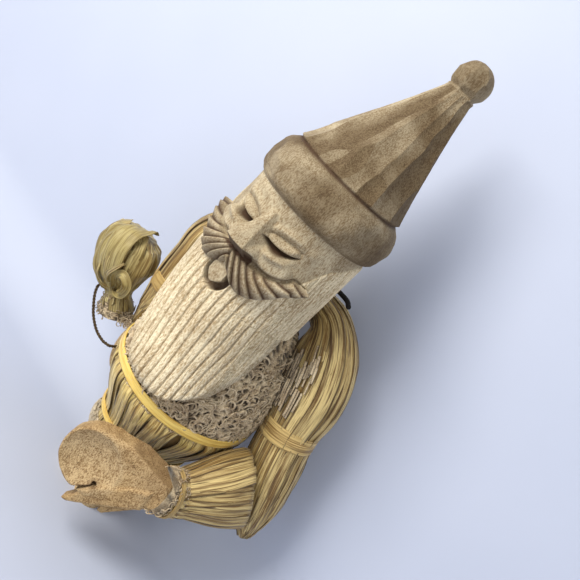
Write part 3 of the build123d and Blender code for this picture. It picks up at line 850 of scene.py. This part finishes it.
def band(bundle, surface, share, width, lift, seed, rows=90, lines=13):
    """A flat strip wound round a bundle as a closed ring with a slightly wavy edge."""
    thickness = 0.9
    angle = circle(rows)[:, None]
    side = np.linspace(-1, 1, lines)
    place = share + (side / 2 + 0.06 * np.sin(angle + seed)) * width / bundle.length
    rough = noise(grid_of(2 * np.cos(angle), 2 * np.sin(angle), 2 * side), 1.0, seed)
    ribs = 0.12 * np.cos(side * width * 1.6 + seed) - 0.25 * side**2 + 0.22 * rough
    shape = sheet(bundle.at(place, angle, lift + ribs), bundle.at(place, angle, lift - thickness))
    across = doubled(side * width / 2)
    along = angle * bundle.radii.mean()
    surface.tube(shape, closed=True, tint=(seed * 0.37) % 1.0, across=across, along=along)


def make_strap(name, material, replaced, bundle, share, width, lift, seed, rows=90):
    """A strap of its own, wound round a bundle."""
    surface = Surface()
    band(bundle, surface, share, width, lift, seed, rows)
    surface.build(name, material, "husk_strap", replaced)


def curls(surface, place_on, count, seed, radius, size, length, darkest):
    """Loose crinkled fibres: short closed curls that lie on a surface given as a function."""
    choose = np.random.default_rng(seed)
    taper = radius * np.sin(np.linspace(0.35, math.pi - 0.35, 12))
    steps = np.linspace(0, length / size, 12)[:, None]
    for index in range(count):
        point, out = place_on(choose.uniform(0, 1), choose.uniform(0, 1))
        first = unit(np.cross(out, choose.normal(size=3)))
        second = np.cross(out, first)
        bend = size * choose.uniform(0.6, 1.3)
        ahead = np.sin(steps * choose.uniform(0.6, 1.2)) * second
        path = point + bend * ((np.cos(steps) - 1) * first + ahead)
        path = path + out * (0.25 + 0.5 * np.sin(steps * 1.7 + index))
        surface.tube(rope(path, taper, 6), shade=choose.uniform(darkest, 1.0), tint=choose.uniform(0, 1))


def make_frayed(bundle):
    """Short torn fibres on the inner side of the left upper arm."""
    choose = np.random.default_rng(55)
    surface = Surface()
    for index in range(46):
        angle = choose.uniform(-1.75, -0.75)
        first = choose.uniform(0.24, 0.44)
        last = first + choose.uniform(0.05, 0.12)
        half = choose.uniform(0.4, 0.9)
        tint = choose.uniform(0, 1)
        bundle.strip(surface, first, last, angle, half, 2.7, 700 + index, 12, 5, wrinkle=0.8, tint=tint)
    surface.build("arm_left_frayed", brown_fibre, "husk")


def make_husk(bundle, name, replaced, count, half_width, seed, inset, **looks):
    """A bundle of husk strips round an inside painted dark as shade."""
    surface = Surface()
    bundle.core(surface, inset, shade=0.2)
    layered_strips(bundle, surface, count, half_width, 0.0, 1.0, seed, wrinkle=0.5, **looks)
    surface.build(name, husk, "husk", replaced)


def make_arms():
    left = Bundle(LEFT_ARM, inset=ARM_INSET)
    right = Bundle(RIGHT_ARM, inset=ARM_INSET)
    make_frayed(left)
    make_husk(left, "arm_left_strips", "arm_husk_left", 13, 4.4, 100, 0.9, swell=1.0, rib=0.22, rows=44)
    make_husk(right, "arm_right_strips", "arm_husk_right", 11, 4.0, 200, 0.9, swell=1.0, rib=0.22, rows=44)
    make_strap("arm_left_band", band_leaf, "arm_band_left", left, 0.575, 9.5, 2.4, 3)
    make_strap("arm_right_band", band_leaf, "arm_band_right", right, 0.63, 9.0, 2.3, 5)


def make_forearm():
    forearm = Bundle(FOREARM, FOREARM_DEPTH, FOREARM_INSET)
    make_husk(forearm, "forearm_left_strips", "forearm_husk_left", 15, 4.4, 300, 1.0, swell=0.6, rib=0.24,
              rows=26, ragged=0.03)
    make_strap("wrist_left_band", band_leaf, "wrist_band_left", forearm, 0.88, 10.0, 2.7, 7)


make_arms()
make_forearm()


# ---- skirt, belt, vest and trim ----
class TiltedBundle(Bundle):
    """The skirt's bundle: its top follows the slope of the belt."""

    def at(self, share, angle, lift):
        points = super().at(share, angle, lift)
        points[..., 2] += BELT_SLOPE * points[..., 1] * smoothstep(points[..., 2], 60, 96)
        return points


def make_skirt():
    skirt = TiltedBundle(SKIRT)
    surface = Surface()
    # the skirt's inside is painted dark as the shade seen between the strips
    skirt.core(surface, 0.8, 40, 96, 0.4)
    layered_strips(skirt, surface, 33, 5.0, 0.03, 0.985, 400, swell=1.5, rib=0.3, rib_gap=2.6, wrinkle=0.4,
                   rows=30, ragged=0.05, cup=0.2)
    surface.build("skirt_strips", skirt_leaf, "husk", "skirt_husk")
    make_strap("hem_strap", strap_leaf, "hem_band", skirt, 0.80, 4.6, 3.4, 9, rows=160)


def ring_profile(profile, columns, slope, tilt_low, tilt_high):
    """A ring about Z from a closed profile of (radius, z); its heights follow the belt's slope."""
    radius, height = np.asarray(profile, float).T
    angle = circle(columns)[:, None] + math.pi / 2
    x = radius * np.cos(angle)
    y = radius * np.sin(angle)
    weight = fade(np.abs(height - BELT_Z), tilt_low, tilt_high)
    return grid_of(x, y, height + slope * y * weight)


def make_belt():
    steps = np.linspace(-1, 1, 15)
    outer = [(BELT_RADIUS - 0.35 * side**2 + 0.06 * math.cos(9 * side), BELT_Z + BELT_HALF_WIDTH * side)
             for side in steps]
    inner = [(BELT_RADIUS - 1.2, BELT_Z + 2.7 * side) for side in steps[::-1]]
    columns = 240
    rows = ring_profile(outer + inner, columns, BELT_SLOPE, 30, 40)
    rows[..., 2] += 0.25 * noise(rows, 16, 41)
    surface = Surface()
    along = np.linspace(0, TURN * BELT_RADIUS, columns)[:, None]
    surface.tube(rows, closed=True, tint=0.2, across=doubled(steps) * BELT_HALF_WIDTH, along=along)
    surface.build("belt_strap", strap_leaf, "husk_strap", "belt_strip")


def crinkle(points, seed, size):
    """Curly ridges of matted fibre, 0 in the gaps to 1 on the crests."""
    bend = np.stack([noise(points, size * 1.7, seed + k) for k in (1, 2, 3)], -1) * size * 1.1
    moved = points + bend
    first = 1 - np.abs(noise(moved, size, seed + 4)) * 2.6
    second = 1 - np.abs(noise(moved, size * 0.62, seed + 5)) * 2.4
    return np.clip(0.65 * np.clip(first, 0, 1) + 0.5 * np.clip(second, 0, 1), 0, 1)


def push_out(rows, amount, count):
    """Moves the first points of every loop out from Z by an amount; the others, the inside, stay."""
    out = unit(rows * (1, 1, 0) + (0, 0, 1e-6))
    is_outer = np.arange(rows.shape[1]) < count
    return rows + out * (amount * is_outer)[..., None]


def make_vest():
    outer = [(46.6, 93), (46.8, 99), (47.4, 104), (47.2, 116), (44.5, 131), (39.5, 143), (32, 157), (24, 167)]
    inner = [(20, 167), (30, 143), (35, 118), (35, 93)]
    wall = spline(outer, 230)
    rows = ring_profile(np.vstack([wall, inner]), 900, BELT_SLOPE, 4, 26)
    height = crinkle(rows, 60, 3.3)
    surface = Surface()
    # painted shade in the gaps between the crinkles
    shade = np.clip(0.1 + 1.5 * height, 0, 1)
    surface.tube(push_out(rows, 2.3 * (height - 0.5), len(wall)), closed=True, shade=shade)
    radii, heights = zip(*outer)

    def on_vest(first, second):
        angle = (first * 0.9 - 0.7) * math.pi
        z = 100 + 52 * second
        radius = np.interp(z, heights, radii) + 0.4
        out = np.array([math.cos(angle), math.sin(angle), 0])
        return out * radius + (0, 0, z + BELT_SLOPE * radius * out[1] * (z < 112)), out

    curls(surface, on_vest, 560, 61, 0.55, 2.8, 11.0, 0.75)
    surface.build("vest_matted", brown_fibre, "fibre", "vest_fibre")


def fibre_tube(stations, across, name, replaced, seed, curl_count=120, body="figure"):
    """A cuff of crinkled fibre: a dense closed tube with ridges, and loose curls on it."""
    bundle = Bundle(stations, across)
    share = np.linspace(0, 1, 70)[:, None]
    angle = circle(170)
    height = crinkle(bundle.at(share, angle, 0), seed, 2.2)
    surface = Surface()
    # painted shade in the gaps between the crinkles
    surface.tube(bundle.at(share, angle, 1.5 * (height - 0.5)), shade=np.clip(0.2 + height, 0, 1))

    def on_cuff(first, second):
        place = np.array([0.1 + 0.85 * second])
        point = bundle.at(place, first * TURN, 0.4)[0]
        return point, unit(point - bundle.read(bundle.centre, place)[0])

    curls(surface, on_cuff, curl_count, seed, 0.32, 1.6, 7.0, 0.55)
    surface.build(name, brown_fibre, "fibre", replaced, body=body)


def make_trim():
    """The fringe under the hem: a pale fibre collar with many loose hanging strands."""
    wall = spline([(30.5, 46.2), (31.5, 43), (30.5, 39), (27.5, 34), (23.5, 30)], 50)
    inner = [(17, 30), (24, 46)]
    rows = ring_profile(np.vstack([wall, inner]), 400, 0, 4, 5)
    height = crinkle(rows * (1, 1, 0.35), 90, 1.9)
    surface = Surface()
    # painted shade in the gaps between the crinkles
    shade = np.clip(0.35 + height, 0, 1)
    surface.tube(push_out(rows, 1.6 * (height - 0.6), len(wall)), closed=True, shade=shade)
    choose = np.random.default_rng(91)
    t = np.linspace(0, 1, 9)
    taper = 0.42 * np.sin(np.linspace(0.5, math.pi - 0.3, 9))
    for index in range(260):
        angle = choose.uniform(0, TURN)
        out = np.array([math.cos(angle), math.sin(angle), 0])
        along = np.array([-out[1], out[0], 0])
        drop = choose.uniform(13, 19)
        radius = np.interp(46 - drop * t, [27, 34, 39, 43, 47], [22.5, 28.3, 31.2, 32.3, 31.5])
        stray = choose.uniform(-2, 2) * t + 0.6 * np.sin(t * 7 + index)
        path = out * radius[:, None] + along * stray[:, None]
        path[:, 2] = 46.4 - drop * t
        surface.tube(rope(path, taper, 5), shade=choose.uniform(0.75, 1))
    surface.build("hem_fringe", pale_fibre, "pale_fibre", "hem_trim")


make_skirt()
make_belt()
make_vest()
fibre_tube(CUFF_LEFT, FOREARM_DEPTH, "cuff_left_matted", "cuff_fibre_left", 70)
fibre_tube(CUFF_RIGHT, (0, 1, 0), "cuff_right_matted", "cuff_fibre_right", 80, 70)
make_trim()


# ---- the open left hand ----
# in its own frame: along the fingers from the wrist, across towards the thumb, and out of the palm
MITTEN_LOW = np.array([-10.0, -24.0, -18.0])
MITTEN_HIGH = np.array([66.0, 42.0, 6.0])
PADDLE = (39, 6.5)
PADDLE_RADIUS = 20.3
KNOT = (33.5, 18.5)
WRIST_OUTLINE = [(-6, -12.6), (12, -14), (34, -13), (40, 20), (26, 22), (-6, 14)]
THUMB_OUTLINE = [(2, 4), (14, 8), (32, 18.4), (47.5, 35.6), (44, 36), (30, 30.2), (4, 17)]
STEP_OUTLINE = [(2, 8), (26, 18), (27, 34.8), (24, 35), (2, 19)]
CREASE_OUTLINE = [(31.5, 17.6), (38, 21.6), (48, 26.6), (60, 30), (60, 34.5), (48, 31.2), (37, 22.8)]
CREASE_LINE = [(33, 18.4), (40, 22.6), (48, 26.8), (56, 29), (56, 29.6), (48, 27.4), (40, 23.2)]
FINGERS = unit(MITTEN_FINGERS)
PALM = unit(MITTEN_PALM)
THUMB = np.cross(PALM, FINGERS)


def smooth_join(first, second, size):
    share = np.clip(0.5 + 0.5 * (second - first) / size, 0, 1)
    return second * (1 - share) + first * share - size * share * (1 - share)


def polygon_distance(x, y, corners):
    """Signed distance to a closed polygon, negative inside."""
    best = np.full(x.shape, 1e9)
    inside = np.zeros(x.shape, bool)
    for (ax, ay), (bx, by) in zip(corners, corners[1:] + corners[:1]):
        ex, ey = bx - ax, by - ay
        t = np.clip(((x - ax) * ex + (y - ay) * ey) / (ex * ex + ey * ey), 0, 1)
        best = np.minimum(best, (x - ax - ex * t) ** 2 + (y - ay - ey * t) ** 2)
        cross = (ay > y) != (by > y)
        with np.errstate(divide="ignore", invalid="ignore"):
            inside ^= cross & (x < (bx - ax) * (y - ay) / (by - ay if by != ay else 1e-9) + ax)
    return np.sqrt(best) * np.where(inside, -1, 1)


def slab(flat, w, low, high, rounding):
    """A plate between two heights with a rounded edge, from its outline's distance."""
    middle, half = (low + high) / 2, (high - low) / 2
    a = flat + rounding
    b = np.abs(w - middle) - half + rounding
    return np.minimum(np.maximum(a, b), 0) + np.hypot(np.maximum(a, 0), np.maximum(b, 0)) - rounding


def mitten_distance(u, v, w):
    """Signed distance to the hand: a scooped paddle for the fingers, a pointed thumb and a stepped edge."""
    paddle = np.hypot(u - PADDLE[0], v - PADDLE[1]) - PADDLE_RADIUS
    palm = slab(smooth_join(paddle, polygon_distance(u, v, WRIST_OUTLINE), 5), w, -12.5, 0.8, 3.0)
    bowl = 35.5 - np.sqrt((u - 41) ** 2 + ((v - 5.5) * 1.02) ** 2 + (w - 31.0) ** 2)
    thumb = slab(polygon_distance(u, v, THUMB_OUTLINE), w + 0.10 * (v - 10), -6.5, 2.2, 1.6)
    step = slab(polygon_distance(u, v, STEP_OUTLINE), w, -12.5, -5.0, 1.4)
    notch = slab(np.hypot(u - KNOT[0], v - KNOT[1]) - 1.5, w, -6, 8, 0.4)
    body = smooth_join(np.maximum(palm, bowl), thumb, 1.4)
    body = np.maximum(smooth_join(body, step, 1.0), -notch)
    body = np.maximum(body, 0.9 * (edge_facet(u, v) + 0.1 * w - 2.6))
    crease = polygon_distance(u, v, CREASE_OUTLINE)
    body = np.maximum(body, -np.maximum(crease, -4.2 - w))
    points = np.stack([u, v, w], -1)
    return body + 0.22 * noise(points * (0.5, 1, 1), 5.0, 14) + 0.08 * noise(points, 2.0, 15)


def edge_facet(u, v):
    """Rises across the long flat cut along the hand's lower edge."""
    return -0.35 * (u - 22) - 0.9 * (v + 10.8)


def mitten_looks(a, b):
    """Numbers for the hand's material: the knot's own dark and its rings, painted shade in the crease and on
    the cut facet of the lower edge, and darker near the wrist and towards the paddle's rim.
    """
    from_knot = np.hypot(a - KNOT[0], b - KNOT[1])
    # the knot and its rings are the wood's own dark colour, carried in the shade field
    knot = np.exp(-((from_knot / 2.2) ** 2))
    rings = (0.5 + 0.5 * np.sin(from_knot * 2.6)) * np.exp(-from_knot / 5)
    wrist_darkening = hill(a, 4, 6) * hill(b, 2, 8)
    # painted shade along the crease between the thumb and the fingers
    crease = fade(polygon_distance(a, b, CREASE_LINE), 0, 0.9)
    # painted shade on the long cut facet along the lower edge
    cut = smoothstep(edge_facet(a, b), 1.5, 2.6)
    shade = 1 - 0.75 * knot - 0.6 * crease - 0.25 * rings - 0.21 * wrist_darkening - 0.35 * cut
    # darker towards the paddle's rim
    rim = np.clip((np.hypot(a - PADDLE[0], b - PADDLE[1]) - 17.5) / 3, 0, 1)
    return {"shade": np.clip(shade, 0.05, 1), "tint": 0.35 + 0.4 * rim, "across": b, "along": a}


def make_mitten():
    """A smooth closed mesh where the signed distance on a grid is zero."""
    spacing = 0.55
    axes = [np.arange(low, high, spacing) for low, high in zip(MITTEN_LOW, MITTEN_HIGH)]
    grid = openvdb.FloatGrid(4.0)
    grid.copyFromArray(mitten_distance(*np.meshgrid(*axes, indexing="ij")).astype(np.float32))
    points, _, quads = grid.convertToPolygons(0.0, 0.0)
    local = points * spacing + MITTEN_LOW
    surface = Surface()
    placed = MITTEN_WRIST + local @ np.array([FINGERS, THUMB, PALM])
    surface.add(placed, quads.tolist(), **mitten_looks(local[:, 0], local[:, 1]))
    surface.build("mitten_left_carving", hand_wood, "carved_wood", "mitten_left")


make_mitten()


# ---- sack on its twine ----
def ribbon(surface, path, facing, half_width, seed, tint, rows=48, curl=0.8, wrinkle=0.5):
    """A free strip of leaf along a path, turned to face one way, with a curled cross section."""
    path = spline(path, rows)
    way = np.gradient(path, axis=0)
    side = unit(np.cross(way, facing))
    normal = unit(np.cross(side, way))
    across = doubled(np.linspace(-1, 1, 11))
    thickness = np.repeat([0.28, -0.28], 11)
    half = np.broadcast_to(half_width, rows)[:, None]
    along = np.linspace(0, path_length(path), rows)[:, None]
    rough = noise(grid_of(along / 7, across * half / 3, seed * 2.3), 1.0, seed)
    lift = curl * across**2 + wrinkle * rough + 0.16 * np.cos(across * half * 2.4) + thickness
    shape = path[:, None] + side[:, None] * (across * half)[..., None] + normal[:, None] * lift[..., None]
    surface.tube(shape, tint=tint, across=across * half, along=along)


def make_sack():
    """Folded leaves gathered at the neck: one wide leaf over the top and one at either side."""
    bundle = Bundle(SACK)
    surface = Surface()
    # the sack's inside is painted dark as the shade seen between the leaves
    bundle.core(surface, 1.3, 60, 60, 0.25)
    layered_strips(bundle, surface, 7, 9.6, 0.02, 0.995, 500, swell=1.3, rib=0.5, rib_gap=5.2, wrinkle=1.5,
                   rows=40, lines=19, cup=-1.0)
    over = [(-79, -12.5, 96), (-81.5, -22, 105), (-84.5, -25.8, 116), (-87, -25, 126), (-89, -20.5, 133),
            (-90.5, -12, 135.6), (-91.5, -4, 134)]
    half = np.interp(np.linspace(0, 1, 60), [0, 0.3, 1], [4.5, 8.6, 8.6])
    ribbon(surface, over, (-0.1, -0.85, 0.5), half, 3, 0.85, rows=60, curl=-0.6, wrinkle=0.8)
    left_leaf = [(-84, -9, 95), (-96, -17.5, 103), (-103.5, -18.5, 114), (-104.5, -17, 124), (-98, -14, 132)]
    ribbon(surface, left_leaf, (-0.5, -0.8, 0.2), 6.0, 5, 0.2, curl=-1.6, wrinkle=0.8)
    right_leaf = [(-78, -8, 97), (-76, -17, 106), (-75.5, -21, 117), (-79, -20, 127), (-87, -15, 133)]
    ribbon(surface, right_leaf, (0.4, -0.9, 0.2), 6.2, 7, 0.6, curl=-1.4, wrinkle=0.8)
    flare = Bundle(SACK_FLARE)
    layered_strips(flare, surface, 9, 4.2, 0.0, 0.5, 560, 1, 0.9, rib=0.3, wrinkle=0.8, rows=16, ragged=0.3)
    surface.build("sack_leaves", sack_leaf, "sack_husk", "sack_husk", "sack_filling", body="sack")
    make_tie(bundle)
    fibre_tube(SACK_FLARE[::-1], (0, 1, 0), "sack_mouth_matted", "sack_mouth_fibre", 95, 110, "sack")


def make_tie(bundle):
    """The tie round the sack's neck with its curled ends, and the eyelet that the twine turns in."""
    tie = Surface()
    band(bundle, tie, 0.14, 5.0, 2.0, 13, rows=70)
    bow = [(-77, -9.5, 95), (-70.5, -15, 97.5), (-64.5, -20.5, 103), (-63.5, -23.5, 110), (-69.5, -25, 113),
           (-74.5, -22, 107), (-76, -14, 98)]
    ribbon(tie, bow, (0.5, -0.6, 0.5), 2.9, 9, 0.8, rows=56, curl=1.0)
    fold = [(-79, -10, 95), (-80.5, -17.5, 99), (-79, -24, 105), (-75.5, -26.5, 113), (-73, -26, 119)]
    ribbon(tie, fold, (0.1, -0.9, 0.3), np.linspace(3.2, 0.7, 40), 11, 0.1, rows=40, curl=0.9)
    end = [(-78.5, -10, 93.5), (-82.5, -16.5, 94), (-87, -21, 98), (-88.5, -23.5, 104)]
    ribbon(tie, end, (-0.2, -0.9, -0.2), np.linspace(2.8, 1.2, 32), 13, 0.5, rows=32, curl=0.8)
    eye = np.array(joints["sack_swing"]["pos_m"]) / MM
    eye_radius = 1.95
    wire_radius = 0.72
    angle = circle(28)
    away = grid_of(np.cos(angle), 0, np.sin(angle))[:, None]
    small = np.linspace(0, TURN, 9, endpoint=False)[:, None]
    bead = np.cos(small) * away + np.sin(small) * (0, 2.2, 0)
    tie.tube(eye + eye_radius * away + wire_radius * bead, closed=True, tint=0.4)
    link = spline([eye + (1.9, 0, 0.4), eye + (3.6, 0.9, 1.2), eye + (5.2, 1.6, 2.0)], 8)
    tie.tube(rope(link, 1.2), tint=0.4)
    tie.build("sack_bow", sack_leaf, "husk_strap", "sack_tie", body="sack")


def make_twine():
    """Twisted twine: two round strands wound about a path."""
    gap = 0.5
    strand = 0.55
    pitch = 4.2
    path = spline(CORD_PATH, 220)
    way = unit(np.gradient(path, axis=0))
    steps = np.linalg.norm(np.diff(path, axis=0), axis=1)
    wound = (np.concatenate([[0], np.cumsum(steps)]) / pitch * TURN)[:, None]
    side = unit(np.cross(way, (0.1, 0.3, 0.95)))
    other = np.cross(way, side)
    surface = Surface()
    for start in circle(2):
        offset = np.cos(wound + start) * side + np.sin(wound + start) * other
        surface.tube(rope(path + gap * offset, strand))
    surface.build("hanging_twine", brown_twine, "twine", "cord", body="cord")


def make_neck_binding():
    """Black cord wound round between the arms behind the neck, with its tail on the left shoulder."""
    turns = np.linspace(0, TURN * 5, 260)
    coil_radius = 11.3
    x = np.linspace(-2.4, 2.4, len(turns))
    coil = grid_of(x, NECK_Y + coil_radius * np.cos(turns), NECK_Z + coil_radius * np.sin(turns))
    surface = Surface()
    surface.tube(rope(coil, 0.95))
    surface.tube(rope(grid_of(np.linspace(-2.2, 2.2, 4), NECK_Y, NECK_Z), 10.6, 40))
    tail = spline([(1, 23, 195), (10, 21, 198), (20, 18, 199), (28, 14, 200), (33, 10, 199)], 40)
    surface.tube(rope(tail, 1.5, 9))
    surface.build("neck_cord", black_cord, "dark_cord", "neck_binding")


make_sack()
make_twine()
make_neck_binding()


# ---- CAD nodes that are shown as they are ----
def finish_nodes(material, *names):
    for name in names:
        mesh = nodes[name].data
        mesh.materials.clear()
        mesh.materials.append(material)
        for field, value in (("tint", 0.3), ("shade", 1.0), ("across", 0.0), ("along", 0.0)):
            layer = mesh.attributes.new(field, "FLOAT", "POINT")
            layer.data.foreach_set("value", np.full(len(mesh.vertices), value, np.float32))


finish_nodes(hand_wood, "boot_left", "boot_right", "mitten_right")
finish_nodes(peg_wood, "neck_peg", "torso_core", "leg_peg_left", "leg_peg_right")
finish_nodes(wire_metal, "arm_wire")


# ---- floor, backdrop, light and camera ----
AZIMUTH = math.radians(22)
ELEVATION = math.radians(15)
TARGET = np.array([22.7, -45.8, 195.0]) * MM
DISTANCE = 0.35
IMAGE_SIZE = 580
FOCAL_PIXELS = 700
SENSOR_MM = 36.0
SWEEP_GAP = 0.008
SWEEP_BEND = 0.05
SWEEP_REACH = 3.0

# the camera's own directions, before its roll
toward = np.array([math.sin(AZIMUTH) * math.cos(ELEVATION), -math.cos(AZIMUTH) * math.cos(ELEVATION),
                   math.sin(ELEVATION)])
right = np.array([math.cos(AZIMUTH), math.sin(AZIMUTH), 0.0])
up = np.cross(toward, right)

# name, direction (right, towards the camera, up), distance and size in m, power in W, colour
LIGHTS = [
    ("key", (-0.8, 0.7, 0.45), 0.9, 0.5, 10.5, (1.0, 0.98, 0.94)),
    ("fill", (0.5, 0.9, -0.1), 1.1, 1.2, 3.2, (0.96, 0.98, 1.0)),
    ("back", (0.3, -0.9, 0.5), 1.0, 0.9, 2.0, (1.0, 0.98, 0.95)),
]


def make_sweep():
    """A pale floor that curves up into a backdrop right behind the figure."""
    back = cad_high[1] + SWEEP_GAP
    bend = [(back - SWEEP_BEND * (1 - math.sin(a)), SWEEP_BEND * (1 - math.cos(a)))
            for a in np.linspace(0, math.pi / 2, 16)]
    line = [(-SWEEP_REACH, 0.0)] + bend + [(back, SWEEP_REACH)]
    points = [(x, y, z) for y, z in line for x in (-SWEEP_REACH, SWEEP_REACH)]
    faces = [(2 * k, 2 * k + 1, 2 * k + 3, 2 * k + 2) for k in range(len(line) - 1)]
    mesh = bpy.data.meshes.new("sweep")
    mesh.from_pydata(points, [], faces)
    mesh.polygons.foreach_set("use_smooth", np.ones(len(faces), bool))
    shader = Shader("paper")
    soft = shader.noise(shader.coordinates(), 6, 2)
    paper = shader.finish(shader.ramp(soft, (0.2, srgb(184, 190, 206)), (0.8, srgb(192, 197, 212))), 0.8)
    shader.clear_from_behind()
    mesh.materials.append(paper)
    item = bpy.data.objects.new("sweep", mesh)
    bpy.context.scene.collection.objects.link(item)


def make_camera():
    """The camera, rolled so that the figure's hat points to the upper right of the picture."""
    camera = bpy.data.objects.new("camera", bpy.data.cameras.new("camera"))
    camera.data.sensor_width = SENSOR_MM
    camera.data.lens = FOCAL_PIXELS / IMAGE_SIZE * SENSOR_MM
    camera.data.clip_start = 0.01
    image_right = (up + right) / math.sqrt(2)
    image_up = (up - right) / math.sqrt(2)
    place = TARGET + DISTANCE * toward
    camera.matrix_world = Matrix(
        [[image_right[k], image_up[k], toward[k], place[k]] for k in range(3)] + [[0, 0, 0, 1]]
    )
    bpy.context.scene.collection.objects.link(camera)
    bpy.context.scene.camera = camera


def make_light(name, direction, distance, size, power, colour):
    light = bpy.data.lights.new(name, "AREA")
    light.size = size
    light.energy = power
    light.color = colour
    item = bpy.data.objects.new(name, light)
    away = direction[0] * right + direction[1] * toward + direction[2] * up
    place = Vector(TARGET + distance * unit(away))
    item.location = place
    item.rotation_euler = (place - Vector(TARGET)).to_track_quat("Z", "Y").to_euler()
    bpy.context.scene.collection.objects.link(item)


def make_world():
    world = bpy.data.worlds.new("studio")
    bpy.context.scene.world = world
    world.use_nodes = True
    background = world.node_tree.nodes["Background"]
    background.inputs["Color"].default_value = (0.93, 0.96, 1.0, 1)
    background.inputs["Strength"].default_value = 0.55
    bpy.context.scene.view_settings.view_transform = "Standard"


make_sweep()
make_camera()
for light in LIGHTS:
    make_light(*light)
make_world()
